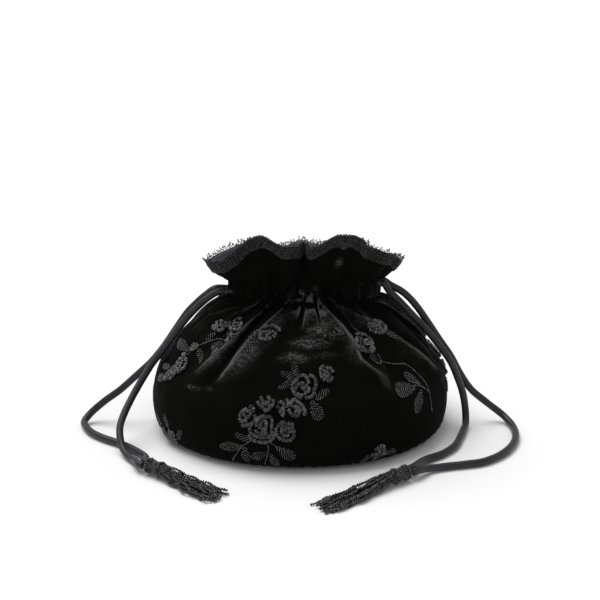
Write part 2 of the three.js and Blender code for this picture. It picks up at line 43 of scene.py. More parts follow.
# Lengths below are in millimetres, as in the CAD source, and become metres in the meshes.
mm = 0.001


def addObject(name, data):
    made = bpy.data.objects.new(name, data)
    bpy.context.collection.objects.link(made)
    return made


# The camera, level with the photo's: its distance, tilt in degrees, and the width that it frames.
view = dict(aim=(0, 0, 116), distance=2000, elevation=20, frameWidth=523.5, sensor=36)


def makeCamera():
    tilt = math.radians(view["elevation"])
    back = Vector((0, -math.cos(tilt), math.sin(tilt)))
    data = bpy.data.cameras.new("camera")
    data.sensor_width = view["sensor"]
    data.lens = view["sensor"] * view["distance"] / view["frameWidth"]
    camera = addObject("camera", data)
    camera.location = (Vector(view["aim"]) + back * view["distance"]) * mm
    camera.rotation_euler = (math.radians(90 - view["elevation"]), 0, 0)
    bpy.context.scene.camera = camera


makeCamera()


# The bag's shape, as in the CAD source.
bag = dict(
    bodyWidth=260, bodyDepth=226, bodyHeight=121, baseWidth=232, baseDepth=193,
    neckWidth=135, neckDepth=54, neckShift=3, casingHeight=20, casingPuff=1.5, gatherDepth=5,
    frillWidth=168, frillDepth=84, frillHeight=45, frillDip=4, rimRuffle=1.6, widestRise=0.25,
    ovalRoundness=0.8,
)
bodyRows = dict(
    rise=(0, 0.03, 0.09, 0.25, 0.466, 0.567, 0.658, 0.8, 0.875, 0.967, 1),
    base=(1, 0.5, 0.15, 0, 0, 0, 0, 0, 0, 0, 0),
    neck=(0, 0, 0, 0, 0.074, 0.206, 0.31, 0.53, 0.67, 0.88, 1),
)
gathers = dict(
    top=(-0.165, -0.13, -0.09, -0.017, 0.025, 0.066, 0.108, 0.152, 0.205,
         0.268, 0.33, 0.39, 0.45, 0.512, 0.575, 0.64, 0.702, 0.768),
    foot=(-0.205, -0.175, -0.125, -0.055, 0.01, 0.08, 0.132, 0.185, 0.235,
          0.27, 0.325, 0.375, 0.445, 0.5, 0.575, 0.635, 0.7, 0.745),
    reach=(0.3, 0.7, 0.68, 0.22, 0.25, 0.74, 0.32, 0.8, 0.2,
           0.6, 0.35, 0.7, 0.3, 0.66, 0.4, 0.72, 0.2, 0.6),
    swell=(1.2, 4, 5.5, 1, 1, 5.5, 1.4, 3.4, 0.6, 1.8, 1.4, 2.4, 1.2, 2.6, 1.4, 2.2, 0.6, 1.6),
    lean=(1, 1.1, 0.8, 1, 1, 1.6, 1, 1.1, 1, 1, 1, 0.9, 1, 1.1, 1, 1, 1, 1),
)
rimRows = dict(
    turn=(0, 0.026, 0.073, 0.12, 0.142, 0.175, 0.21, 0.25, 0.285, 0.33, 0.4, 0.45, 0.5, 0.55,
          0.6, 0.67, 0.75, 0.79, 0.83, 0.865, 0.91, 0.948, 0.98),
    height=(0.7, 0.74, 1, 0.9, 0.72, 0.58, 0.46, 0.24, 0.12, 0.2, 0.34, 0.24, 0.34, 0.26,
            0.36, 0.26, 0.2, 0.33, 0.46, 0.76, 0.97, 0.77, 0.74),
    flare=(0.34, 0.62, 0.95, 1, 0.85, 0.98, 0.97, 0.95, 0.88, 0.8, 1, 0.78, 1, 0.78,
           1, 0.85, 0.96, 0.98, 0.93, 0.9, 1, 0.8, 0.6),
)
gatherCount = len(gathers["top"])
neckHalfWidth = bag["neckWidth"] / 2 - bag["gatherDepth"] - bag["casingPuff"]
neckHalfDepth = bag["neckDepth"] / 2 - bag["gatherDepth"] - bag["casingPuff"]
casingTop = bag["bodyHeight"] + bag["casingHeight"]


def mixed(low, high, share):
    return low * (1 - share) + high * share


def smoothstep(low, high, value):
    share = np.clip((value - low) / (high - low), 0, 1)
    return share * share * (3 - 2 * share)


# A curve through values at places, with the given slopes there.
def eased(places, values, slopes, at):
    i = np.clip(np.searchsorted(places, at, side="right") - 1, 0, len(places) - 2)
    span = places[i + 1] - places[i]
    t = (at - places[i]) / span
    bend = t * (1 - t) * span * ((1 - t) * slopes[i] - t * slopes[i + 1])
    return mixed(values[i], values[i + 1], t * t * (3 - 2 * t)) + bend


# A smooth curve through one column of a table.
def smoothColumn(places, values, at):
    places = np.asarray(places, float)
    values = np.asarray(values, float)
    last = len(places) - 1
    before = np.maximum(np.arange(last + 1) - 1, 0)
    after = np.minimum(np.arange(last + 1) + 1, last)
    slopes = (values[after] - values[before]) / (places[after] - places[before])
    return eased(places, values, slopes, at)


def rimValue(column, turns):
    places = np.concatenate([np.array(rimRows["turn"]) + lap for lap in (-1, 0, 1)])
    return smoothColumn(places, rimRows[column] * 3, np.mod(turns, 1))


# An ellipse swept by a circle, at turns spread evenly along it. Gives x, y and the normal's x, y.
def oval(halfWidth, halfDepth, turns):
    curve = bag["ovalRoundness"] * min(halfWidth, halfDepth)
    angle = np.linspace(0, 2 * math.pi, 721)
    nx, ny = np.sin(angle), -np.cos(angle)
    coreX, coreY = halfWidth - curve, halfDepth - curve
    core = np.hypot(coreX * nx, coreY * ny)
    x = coreX**2 * nx / core + curve * nx
    y = coreY**2 * ny / core + curve * ny
    steps = np.hypot(np.diff(x), np.diff(y))
    along = np.concatenate([[0], np.cumsum(steps)]) / steps.sum()
    at = np.interp(np.mod(turns, 1), along, angle)
    return [np.interp(at, angle, values) for values in (x, y, nx, ny)]


def bodyRow(turns, rise):
    base = smoothColumn(bodyRows["rise"], bodyRows["base"], rise)
    neck = smoothColumn(bodyRows["rise"], bodyRows["neck"], rise)
    width = mixed(mixed(bag["bodyWidth"], bag["baseWidth"], base) / 2, neckHalfWidth, neck)
    depth = mixed(mixed(bag["bodyDepth"], bag["baseDepth"], base) / 2, neckHalfDepth, neck)
    x, y, nx, ny = oval(width, depth, turns)
    points = np.stack([x + bag["neckShift"] * neck, y, np.full_like(x, rise * bag["bodyHeight"])], -1)
    return points, np.stack([nx, ny, np.zeros_like(nx)], -1)


def frillRow(turns, share):
    height = rimValue("height", turns)
    flare = rimValue("flare", turns)
    lowX, lowY, _, _ = oval(neckHalfWidth, neckHalfDepth, turns)
    highX, highY, _, _ = oval(bag["frillWidth"] / 2, bag["frillDepth"] / 2, turns)
    out = flare * share ** mixed(0.75, 1.25, height)
    dip = bag["frillDip"] * (1 - height) ** 2 * 4 * share * np.maximum(1 - share, 0)
    z = casingTop + bag["frillHeight"] * height * share ** mixed(2, 1, height) - dip
    return np.stack([mixed(lowX, highX, out) + bag["neckShift"], mixed(lowY, highY, out), z], -1)


def unit(vectors):
    return vectors / np.maximum(np.linalg.norm(vectors, axis=-1, keepdims=True), 1e-9)


def frillNormal(turns, share):
    along = frillRow(turns + 0.02, share) - frillRow(turns - 0.02, share)
    up = frillRow(turns, share + 0.02) - frillRow(turns, np.maximum(share - 0.02, 0))
    square = unit(np.cross(along, up))
    _, _, nx, ny = oval(neckHalfWidth, neckHalfDepth, turns)
    level = np.stack([nx, ny, np.zeros_like(nx)], -1)
    weight = np.clip(0.5 + share * 5, 0, 1)
    if np.ndim(weight):
        weight = weight[:, None]
    return unit(mixed(level, square, weight))


def drop(level):
    return min(max((1 - level) / (1 - bag["widestRise"]), 0), 1)


def gatherStarts(level):
    top = np.array(gathers["top"])
    foot = np.array(gathers["foot"])
    starts = mixed(top, foot, 1 - (1 - drop(level)) ** 2)
    return np.append(starts, starts[0] + 1)


# How far the cloth stands off the plain surface along one row.
def relief(turns, level):
    starts = gatherStarts(level)
    t = starts[0] + np.mod(turns - starts[0], 1)
    i = np.clip(np.searchsorted(starts, t, side="right") - 1, 0, gatherCount - 1)
    phase = np.clip((t - starts[i]) / (starts[i + 1] - starts[i]), 0, 1)
    reach, swell, lean = (np.array(gathers[key])[i] for key in ("reach", "swell", "lean"))
    sunk = drop(level) / reach
    wave = np.sin(math.pi * phase ** (1 if level > 1 else lean))
    crest = np.maximum(wave, 0) ** (0.8 + np.minimum(sunk, 1) + 0.5 * max(level - 2, 0))
    if level <= 1:
        return crest * bag["gatherDepth"] * np.maximum(1 - sunk, 0) * (1 + swell * sunk)
    if level <= 2:
        return crest * bag["gatherDepth"] + bag["casingPuff"] * 4 * (level - 1) * (2 - level)
    return crest * mixed(bag["gatherDepth"], bag["rimRuffle"], min(level - 2, 1))


# One row of the cloth: points and the direction that it stands off in.
def clothRow(turns, level):
    if level >= 2:
        share = level - 2
        return frillRow(turns, share), frillNormal(turns, share)
    points, normals = bodyRow(turns, min(level, 1))
    points[:, 2] += bag["casingHeight"] * max(level - 1, 0)
    return points, normals


# The velvet's detail, which the CAD leaves out. Creases, each from where it leaves the casing: places
# in turns and mm of height, how wide and how high its ridge is, how deep the cloth drops beside it,
# towards higher turns (+) or lower ones (-), and how far behind the ridge the painted glow reaches.
creases = [
    dict(turn=(-0.018, -0.035, -0.058, -0.078, -0.092, -0.099, -0.103, -0.112, -0.125),
         height=(139, 130, 122, 114, 105, 94, 82, 70, 62), wide=4.2, high=5, sink=-4.5, glow=20),
    dict(turn=(-0.085, -0.108, -0.116, -0.122, -0.13, -0.142, -0.16),
         height=(127, 118, 110, 101, 91, 77, 66), wide=3.6, high=4.2, sink=-3.5, glow=17),
    dict(turn=(-0.11, -0.14, -0.17), height=(126, 122, 110), wide=2.4, high=2.2, sink=-1.8),
    dict(turn=(-0.075, -0.095, -0.112, -0.12), height=(128, 121, 115, 107), wide=2, high=1.8, sink=1.6),
    dict(turn=(-0.15, -0.19, -0.217), height=(123, 115, 108), wide=2.2, high=1.8, sink=-1.5),
    dict(turn=(0.002, 0.0, -0.005, -0.013), height=(134, 127, 120, 110),
         wide=2.6, high=4.6, sink=5, glow=8),
    dict(turn=(0.012, 0.008, 0.002, -0.002), height=(130, 122, 115, 106),
         wide=2.4, high=4.4, sink=-4.6, glow=6),
    dict(turn=(0.027, 0.03, 0.034, 0.036), height=(129, 122, 115, 108), wide=2.2, high=4, sink=3.6, glow=6),
    dict(turn=(0.041, 0.042, 0.04, 0.038), height=(129, 122, 115, 108),
         wide=2.2, high=4, sink=-3.6, glow=12),
    dict(turn=(0.035, 0.044, 0.053, 0.07, 0.084, 0.09, 0.089, 0.089, 0.1, 0.113, 0.115),
         height=(139, 131, 124, 117, 111, 104, 96, 90, 83, 74, 62), wide=4, high=4.8, sink=4),
    dict(turn=(0.07, 0.1, 0.138), height=(127, 121, 115), wide=2, high=1.8, sink=1.4),
    dict(turn=(0.1, 0.128, 0.148, 0.165), height=(125, 117, 112, 106), wide=2.2, high=1.9, sink=1.6),
    dict(turn=(0.093, 0.11, 0.125), height=(111, 104, 98), wide=2, high=1.4, sink=-1),
    dict(turn=(0.135, 0.16, 0.185, 0.2, 0.218), height=(124, 106, 86, 70, 55), wide=3.2, high=2.8, sink=2),
    dict(turn=(0.2, 0.225, 0.245, 0.25), height=(126, 112, 92, 74), wide=3.2, high=2.6, sink=-2),
    dict(turn=(0.27, 0.29, 0.3, 0.295), height=(126, 110, 92, 78), wide=3.4, high=3.4, sink=2.4),
    dict(turn=(0.335, 0.34, 0.33), height=(126, 112, 96), wide=2.6, high=2.2, sink=1.6),
    dict(turn=(0.4, 0.395, 0.38, 0.37), height=(128, 110, 90, 70), wide=3.8, high=4.2, sink=-3),
    dict(turn=(0.455, 0.45, 0.452), height=(126, 112, 98), wide=2.6, high=2.2, sink=1.6),
    dict(turn=(0.52, 0.515, 0.5, 0.49), height=(128, 108, 88, 68), wide=3.8, high=4.4, sink=3),
    dict(turn=(0.58, 0.59, 0.6), height=(126, 110, 94), wide=2.6, high=2.2, sink=-1.6),
    dict(turn=(0.645, 0.65, 0.64, 0.65), height=(126, 108, 90, 72), wide=3.6, high=3.8, sink=2.6),
    dict(turn=(0.71, 0.705, 0.7), height=(124, 108, 94), wide=2.6, high=2, sink=1.6),
    dict(turn=(0.77, 0.755, 0.745), height=(124, 104, 84), wide=3.2, high=2.8, sink=-2),
]
# Folds of the frill: turn, half width in mm, how deep they run, and the levels that they span.
frillFolds = [
    (0.002, 3.4, 9, 2.1, 3.2), (0.045, 7, 1.6, 2.1, 3.1), (0.1, 8, 1.4, 2.2, 3.1), (0.16, 6, 1.8, 2.1, 3.1),
    (0.93, 8, 1.8, 2.1, 3.1), (0.885, 7, 1.4, 2.2, 3.1), (0.835, 5, 1.8, 2.1, 3.1),
    (0.47, 5, 3, 2.1, 3.2), (0.58, 6, 2.2, 2.1, 3.2), (0.39, 6, 2, 2.1, 3.2), (0.67, 6, 2, 2.1, 3.2),
]
# Where the pile is crushed: the cloth dents there and its colour gets a painted highlight. Place in
# turns and mm of height, half width and half height in mm, and how much.
crushesAndHighlights = [
    (0.047, 107, 20, 10, 1), (0.015, 99, 20, 7, 0.95), (-0.012, 90, 16, 7, 0.8),
    (0.035, 91, 20, 5, 0.5), (-0.006, 132, 3.5, 5, 0.8), (0.017, 130, 4, 5, 0.9),
    (-0.014, 119, 6, 11, 1), (0.018, 119, 5, 11, 1), (-0.14, 62, 10, 4, 0.8), (-0.118, 64, 8, 3.5, 0.5),
    (-0.17, 92, 12, 9, 0.3), (0.16, 84, 12, 10, 0.3), (0.052, 119, 6, 8, 0.9), (0.09, 158, 4, 5, 0.9),
    (0.09, 150, 5, 4, 0.8), (-0.05, 103, 9, 10, 0.25), (-0.08, 92, 8, 22, 0.3), (-0.12, 84, 7, 14, 0.3),
    (0.105, 86, 6, 22, 0.3), (0.2, 70, 8, 24, 0.4), (-0.2, 40, 18, 16, 0.3), (0.2, 105, 10, 12, 0.35),
    (0.3, 80, 22, 18, 0.4), (0.42, 96, 22, 12, 0.5), (0.55, 84, 20, 16, 0.5), (0.66, 60, 22, 18, 0.4),
    (-0.2, 100, 12, 12, 0.35), (0.74, 96, 14, 16, 0.4), (0.36, 46, 22, 12, 0.4), (0.6, 112, 14, 9, 0.4),
    (0.25, 108, 12, 14, 0.35),
]
creaseShape = dict(swell=1.9, rise=1.8, glow=13, shade=6, fullHigh=4, fadeFrom=0.62)
# Fine pleats of the casing, puckers along the foot's seam, and loose wrinkles between the folds.
pleat = dict(around=7.5, high=2.0, gatherShare=0.5, frillShare=0.85, slitWidth=0.035)
pucker = dict(spacing=9.5, high=1.5, reach=9)
wrinkle = dict(high=1.5, around=11, down=0.02, dents=1.4, crushAndHighlight=0.8)


# Sizes of the plain surface by level: the length round it and the length up it, in mm.
def measureSurface():
    levels = np.linspace(0, 3, 121)
    turns = np.linspace(0, 1, 241)
    rounds, fronts = [], []
    for level in levels:
        points, _ = clothRow(turns, level)
        rounds.append(np.linalg.norm(np.diff(points, axis=0), axis=1).sum())
        fronts.append(points[::12])
    ups = np.linalg.norm(np.diff(np.array(fronts), axis=0), axis=2).mean(axis=1)
    return levels, np.array(rounds), np.concatenate([[0], np.cumsum(ups)])


surfaceLevels, surfaceRound, surfaceUp = measureSurface()


def roundAt(level):
    return np.interp(level, surfaceLevels, surfaceRound)


def upAt(level):
    return np.interp(level, surfaceLevels, surfaceUp)


def levelAt(up):
    return np.interp(up, surfaceUp, surfaceLevels)


def levelOfHeight(height):
    if height <= bag["bodyHeight"]:
        return height / bag["bodyHeight"]
    return 1 + (height - bag["bodyHeight"]) / bag["casingHeight"]


# How far turns lie past a turn, in mm, on the short way round.
def sideways(turns, turn, perimeter):
    return (np.mod(turns - turn + 0.5, 1) - 0.5) * perimeter


# Nearest distances of grid points (in turns and mm up) to a line of places, on which side of it they
# lie, and how far along it.
def lineDistance(turns, ups, perimeter, line):
    lineTurn = np.array(line["turn"])
    lineUp = np.array([upAt(levelOfHeight(height)) for height in line["height"]])
    best = np.full(turns.shape, 1e9)
    side = np.zeros(turns.shape)
    along = np.zeros(turns.shape)
    count = len(lineTurn) - 1
    for i in range(count):
        stepX = (lineTurn[i + 1] - lineTurn[i]) * perimeter
        stepY = lineUp[i + 1] - lineUp[i]
        fromX = sideways(turns, lineTurn[i], perimeter)
        fromY = ups - lineUp[i]
        length = stepX**2 + stepY**2
        share = np.clip((fromX * stepX + fromY * stepY) / length, 0, 1)
        away = np.hypot(fromX - share * stepX, fromY - share * stepY)
        near = away < best
        best = np.where(near, away, best)
        side = np.where(near, np.sign(fromX - share * stepX), side)
        along = np.where(near, (i + share) / count, along)
    return best, side, along


def noiseGrid(points, scale, seed, octaves=2):
    flat = points.reshape(-1, 3)
    offset = Vector((seed * 7.3, seed * 3.1, seed * 5.7))
    values = [noise.fractal(Vector(p) + offset, 1.0, 2.0, octaves) for p in (flat * scale).tolist()]
    return np.array(values).reshape(points.shape[:-1])


# Turns as places on a circle, so that noise over them has no seam.
def onCircle(turns, height=0):
    angle = 2 * math.pi * turns
    return np.stack([np.cos(angle), np.sin(angle), height + 0 * turns], -1)


# The cloth as a grid of rows: its points, and how its pile shades at each of them.
def clothGrid(turns, levels):
    rows = [clothRow(turns, level) for level in levels]
    plain = np.array([row[0] for row in rows])
    normals = np.array([row[1] for row in rows])
    raised = np.array([relief(turns, level) for level in levels])
    turnGrid, levelGrid = np.meshgrid(turns, levels)
    ups = upAt(levelGrid)
    perimeter = roundAt(levelGrid)
    around = onCircle(turnGrid, ups * wrinkle["down"])
    upper = smoothstep(0.45, 0.95, levelGrid)

    # The casing's gathers are softer than the plain ones, with fine pleats over them that fade into
    # the body and the frill.
    atCasing = smoothstep(0.86, 1.04, levelGrid)
    atEnds = np.exp(-((np.abs(turnGrid) - 0.25) / pleat["slitWidth"]) ** 2)
    raised *= 1 - (1 - mixed(pleat["gatherShare"], 1, atEnds)) * atCasing
    stray = noiseGrid(around * [1.9, 1.9, 0.4], 1, 1)
    tucks = noiseGrid(around * [pleat["around"], pleat["around"], 0.9], 1, 6, 2)
    fade = smoothstep(0.78, 1, levelGrid) * (1 - smoothstep(1.95, 2.7, levelGrid) * pleat["frillShare"])
    detail = pleat["high"] * (0.75 - 2.6 * np.abs(tucks)) * fade

    # Creases: the cloth swells up to a ridge, drops beside it and comes up again slowly. Light is
    # painted behind the ridge and shade in the drop, and both go into the velvet's colour.
    shape = creaseShape
    lit = np.zeros_like(turnGrid)
    crest = np.full_like(turnGrid, 30.0)
    crestShare = np.zeros_like(turnGrid)
    for line in creases:
        away, side, along = lineDistance(turnGrid, ups, perimeter, line)
        ends = smoothstep(0, 0.12, along) * (1 - smoothstep(shape["fadeFrom"], 1, along))
        ends = ends * (1 - smoothstep(1.6, 2.1, levelGrid))
        signed = away * side * np.sign(line["sink"]) / line["wide"]
        swell = line["high"] * np.exp(-(np.maximum(-signed, 0) / shape["swell"]) ** 1.3)
        fall = (line["high"] + abs(line["sink"])) * smoothstep(0, 1, signed)
        rise = abs(line["sink"]) * (1 - np.exp(-np.maximum(signed - 1, 0) / shape["rise"]))
        detail += (swell - fall + rise) * ends
        past = signed * line["wide"]
        strength = min(line["high"] / shape["fullHigh"], 1) * ends * (1 - smoothstep(1, 1.5, levelGrid))
        behind = np.exp(-(np.maximum(-past, 0) / line.get("glow", shape["glow"])) ** 1.3) * (past < 0)
        ahead = np.exp(-(np.maximum(past - 1, 0) / shape["shade"]) ** 1.5) * (past >= 0)
        lit += strength * (behind - 1.1 * ahead)
        nearest = np.abs(past) < np.abs(crest)
        crest = np.where(nearest, past, crest)
        crestShare = np.where(nearest, strength, crestShare)

    # Folds that run up the frill.
    for turn, halfWide, deep, low, high in frillFolds:
        acrossX = sideways(turnGrid, turn, perimeter) / halfWide
        span = smoothstep(low, low + 0.4, levelGrid) * (1 - smoothstep(high - 0.1, high, levelGrid) * 0.5)
        detail -= deep * np.exp(-np.abs(acrossX) ** 1.6) * span

    # Loose wrinkles that run down from the gathers, and shallow dents elsewhere.
    fine = noiseGrid(around * [wrinkle["around"] / 2, wrinkle["around"] / 2, 1], 1, 2, 3)
    folds = 1 - 2 * np.abs(fine)
    detail += wrinkle["high"] * (folds - 0.5) * upper * (1 - smoothstep(1.05, 1.4, levelGrid))
    dents = noiseGrid(plain, 0.03, 3, 3)
    detail += wrinkle["dents"] * dents * smoothstep(0.1, 0.4, levelGrid)
    creased = noiseGrid(plain * [1, 1, 1.8], 0.075, 4, 3)
    patches = np.zeros_like(turnGrid)
    for turn, height, halfWide, halfHigh, strength in crushesAndHighlights:
        acrossX = sideways(turnGrid, turn, perimeter) / halfWide
        acrossY = (ups - upAt(levelOfHeight(height))) / halfHigh
        below = 1 if height > casingTop else 1 - smoothstep(1.5, 1.8, levelGrid)
        patches = np.maximum(patches, strength * below * np.exp(-(acrossX**2 + acrossY**2)))
    detail += wrinkle["crushAndHighlight"] * patches * (0.4 - 1.6 * np.abs(creased))

    # Puckers along the seam at the foot.
    foot = np.exp(-ups / pucker["reach"])
    waves = round(surfaceRound[0] / pucker["spacing"])
    wave = np.sin(2 * math.pi * (ups * 0.02 + turnGrid * waves) + 3 * stray)
    detail += pucker["high"] * foot * (wave - 0.6)
    # Stitch lines draw the cloth in at both edges of the casing.
    for level in (1, 2):
        detail -= (0.35 + 0.5 * np.abs(stray)) * np.exp(-((ups - upAt(level)) / 1.3) ** 2)
    points = plain + normals * (raised + detail)[..., None]
    points[..., 2] = np.maximum(points[..., 2], 0.15)
    shades = dict(
        patch=patches, lit=np.clip(lit, -1, 1), crest=np.clip(crest, -12, 12), crestShare=crestShare)
    return points, shades


def gridNormals(points):
    along = np.roll(points, -1, axis=1) - np.roll(points, 1, axis=1)
    up = np.gradient(points, axis=0)
    return unit(np.cross(along, up))


velvetGrid = dict(columns=540, footRows=13, footLevel=0.12, bodyRows=65, casingRows=14, frillRows=38)


def makeLevels():
    low = np.linspace(0, velvetGrid["footLevel"], velvetGrid["footRows"] + 1)[:-1]
    body = np.linspace(velvetGrid["footLevel"], 1, velvetGrid["bodyRows"])[:-1]
    casing = np.linspace(1, 2, velvetGrid["casingRows"])[:-1]
    frill = np.linspace(2, 3, velvetGrid["frillRows"])
    return np.concatenate([low, body, casing, frill])


velvetTurns = np.arange(velvetGrid["columns"]) / velvetGrid["columns"] - 0.5
velvetLevels = makeLevels()
velvetPoints, velvetShades = clothGrid(velvetTurns, velvetLevels)
velvetNormals = gridNormals(velvetPoints)
print("stage: cloth surface", velvetPoints.shape)


def makeMesh(name, points, faces, material=None, smooth=True):
    mesh = bpy.data.meshes.new(name)
    mesh.from_pydata((np.asarray(points, float) * mm).tolist(), [], [list(face) for face in faces])
    if smooth:
        mesh.polygons.foreach_set("use_smooth", [True] * len(mesh.polygons))
    if material:
        mesh.materials.append(material)
    mesh.update()
    return addObject(name, mesh)


def addAttribute(piece, name, values, kind="FLOAT"):
    layer = piece.data.attributes.new(name, kind, "POINT")
    key = "value" if kind == "FLOAT" else "vector"
    layer.data.foreach_set(key, np.asarray(values, float).ravel())


# Faces between rows of a grid that closes on itself along each row.
def gridFaces(rowCount, columnCount):
    faces = []
    for row in range(rowCount - 1):
        for column in range(columnCount):
            after = (column + 1) % columnCount
            low, high = row * columnCount, (row + 1) * columnCount
            faces.append((low + column, low + after, high + after, high + column))
    return faces


# Rows of points as one closed skin: rows joined end to start, or each end closed by a fan.
def makeSkin(name, rows, material, capped=False):
    rows = [np.asarray(row) for row in rows]
    columnCount = len(rows[0])
    points = np.concatenate(rows)
    faces = gridFaces(len(rows), columnCount)
    if capped:
        low, high = len(points), len(points) + 1
        points = np.concatenate([points, [rows[0].mean(axis=0)], [rows[-1].mean(axis=0)]])
        top = (len(rows) - 1) * columnCount
        for column in range(columnCount):
            after = (column + 1) % columnCount
            faces.append((after, column, low))
            faces.append((top + column, top + after, high))
    else:
        last = (len(rows) - 1) * columnCount
        for column in range(columnCount):
            after = (column + 1) % columnCount
            faces.append((last + column, last + after, after, column))
    return makeMesh(name, points, faces, material)


# A smooth curve through given points, sampled evenly.
def smoothPath(points, step):
    points = np.asarray(points, float)
    gaps = np.linalg.norm(np.diff(points, axis=0), axis=1) ** 0.5
    knots = np.concatenate([[0], np.cumsum(gaps)])
    fine = np.linspace(0, knots[-1], 40 * len(points))
    columns = [eased(knots, column, np.gradient(column, knots), fine) for column in points.T]
    dense = np.stack(columns, -1)
    lengths = np.linalg.norm(np.diff(dense, axis=0), axis=1)
    along = np.concatenate([[0], np.cumsum(lengths)])
    count = max(int(round(along[-1] / step)), 2)
    at = np.linspace(0, along[-1], count + 1)
    return np.stack([np.interp(at, along, dense[:, axis]) for axis in range(points.shape[1])], -1)


# A round tube along a path, with UV: once round it, and millimetres along it.
def makeTube(name, path, diameter, sides, material, swell=None):
    tangents = unit(np.gradient(path, axis=0))
    side = unit(np.cross(tangents[0], [0.13, 0.2, 1]))
    rings = []
    for i, tangent in enumerate(tangents):
        side = unit(side - tangent * np.dot(side, tangent))
        other = np.cross(tangent, side)
        angles = np.arange(sides) / sides * 2 * math.pi
        radius = diameter / 2 * (swell[i] if swell is not None else 1)
        rings.append(path[i] + radius * (np.cos(angles)[:, None] * side + np.sin(angles)[:, None] * other))
    tube = makeSkin(name, rings, material, capped=True)
    steps = np.linalg.norm(np.diff(path, axis=0), axis=1)
    along = np.concatenate([[0], np.cumsum(steps)])
    along = np.append(np.repeat(along, sides), [0, along[-1]])
    turn = np.append(np.tile(np.arange(sides) / sides, len(path)), [0, 0])
    layer = tube.data.uv_layers.new(name="along")
    for polygon in tube.data.polygons:
        turns = [turn[v] for v in polygon.vertices]
        wraps = max(turns) - min(turns) > 0.5
        for loop, value in zip(polygon.loop_indices, turns):
            vertex = tube.data.loops[loop].vertex_index
            layer.data[loop].uv = (value + (1 if wraps and value < 0.5 else 0), along[vertex] * mm)
    return tube


# A value in a material's node tree, so that shader maths reads as sums.
class Value:
    def __init__(self, paint, socket):
        self.paint = paint
        self.socket = socket

    def sum(self, operation, *others):
        return self.paint.node("ShaderNodeMath", dict(operation=operation), [self, *others])

    def flipped(self, operation, other):
        return self.paint.node("ShaderNodeMath", dict(operation=operation), [other, self])

    def __add__(self, other):
        return self.sum("ADD", other)

    def __radd__(self, other):
        return self.flipped("ADD", other)

    def __sub__(self, other):
        return self.sum("SUBTRACT", other)

    def __rsub__(self, other):
        return self.flipped("SUBTRACT", other)

    def __mul__(self, other):
        return self.sum("MULTIPLY", other)

    def __rmul__(self, other):
        return self.flipped("MULTIPLY", other)

    def __truediv__(self, other):
        return self.sum("DIVIDE", other)

    def __rtruediv__(self, other):
        return self.flipped("DIVIDE", other)

    def __pow__(self, other):
        return self.sum("POWER", other)

    def sine(self):
        return self.sum("SINE")

    def size(self):
        return self.sum("ABSOLUTE")

    # 0 below low, 1 above high, smooth between.
    def ramp(self, low, high):
        settings = dict(interpolation_type="SMOOTHSTEP", clamp=True)
        inputs = {"Value": self, "From Min": low, "From Max": high}
        return self.paint.node("ShaderNodeMapRange", settings, inputs)


# A material round one Principled shader, with the nodes that its look is made of.
class Paint:
    def __init__(self, name, constants):
        self.material = bpy.data.materials.new(name)
        self.material.use_nodes = True
        self.tree = self.material.node_tree
        self.shader = self.tree.nodes["Principled BSDF"]
        for socket, value in constants.items():
            self.shader.inputs[socket].default_value = value

    # Any node: its settings first, then what goes into its sockets.
    def node(self, kind, settings=None, inputs=None, output=0):
        made = self.tree.nodes.new(kind)
        for key, value in (settings or {}).items():
            setattr(made, key, value)
        pairs = inputs.items() if isinstance(inputs, dict) else enumerate(inputs or [])
        for key, value in pairs:
            self.feed(made.inputs[key], value)
        return Value(self, made.outputs[output])

    def feed(self, socket, value):
        if isinstance(value, Value):
            self.tree.links.new(value.socket, socket)
        else:
            socket.default_value = value

    def attribute(self, name, vector=False):
        output = "Vector" if vector else "Fac"
        return self.node("ShaderNodeAttribute", dict(attribute_name=name), output=output)

    def place(self):
        return self.node("ShaderNodeTexCoord", output="Object")

    def along(self):
        return self.node("ShaderNodeUVMap", dict(uv_map="along"))

    def part(self, vector, index):
        return self.node("ShaderNodeSeparateXYZ", {}, [vector], index)

    def stretched(self, vector, scale):
        return self.node("ShaderNodeVectorMath", dict(operation="MULTIPLY"), [vector, scale])

    def noise(self, vector, scale, detail=3, rough=0.55, warp=0):
        inputs = {
            "Vector": vector, "Scale": scale, "Detail": detail, "Roughness": rough, "Distortion": warp}
        return self.node("ShaderNodeTexNoise", {}, inputs)

    # Sockets 6 and 7 of a mix node are its colours, and output 2 is the mixed one.
    def blend(self, factor, low, high):
        settings = dict(data_type="RGBA", clamp_factor=True)
        return self.node("ShaderNodeMix", settings, {0: factor, 6: low, 7: high}, 2)

    def colour(self, factor, low, high):
        return self.blend(factor, (*low, 1), (*high, 1))

    def bump(self, height, distance, strength=1, normal=None):
        inputs = {"Strength": strength, "Distance": distance * mm, "Height": height}
        if normal:
            inputs["Normal"] = normal
        return self.node("ShaderNodeBump", {}, inputs)

    def finish(self, **sockets):
        names = dict(
            colour="Base Color", rough="Roughness", metal="Metallic", coat="Coat Weight", normal="Normal")
        for key, value in sockets.items():
            self.feed(self.shader.inputs[names[key]], value)
        return self.material


# Crushed velvet: almost black, with painted highlights where the pile is crushed, on crests and on slopes
# facing the lamp, and painted shade in the creases' drops.
velvetLook = dict(
    deep=(0.001, 0.001, 0.0008), soft=(0.003, 0.003, 0.0026), crushAndHighlight=(0.1, 0.1, 0.099),
    sheen=0.022, sheenRough=0.3, sheenTint=(0.8, 0.8, 0.8, 1), gloss=0.06,
)


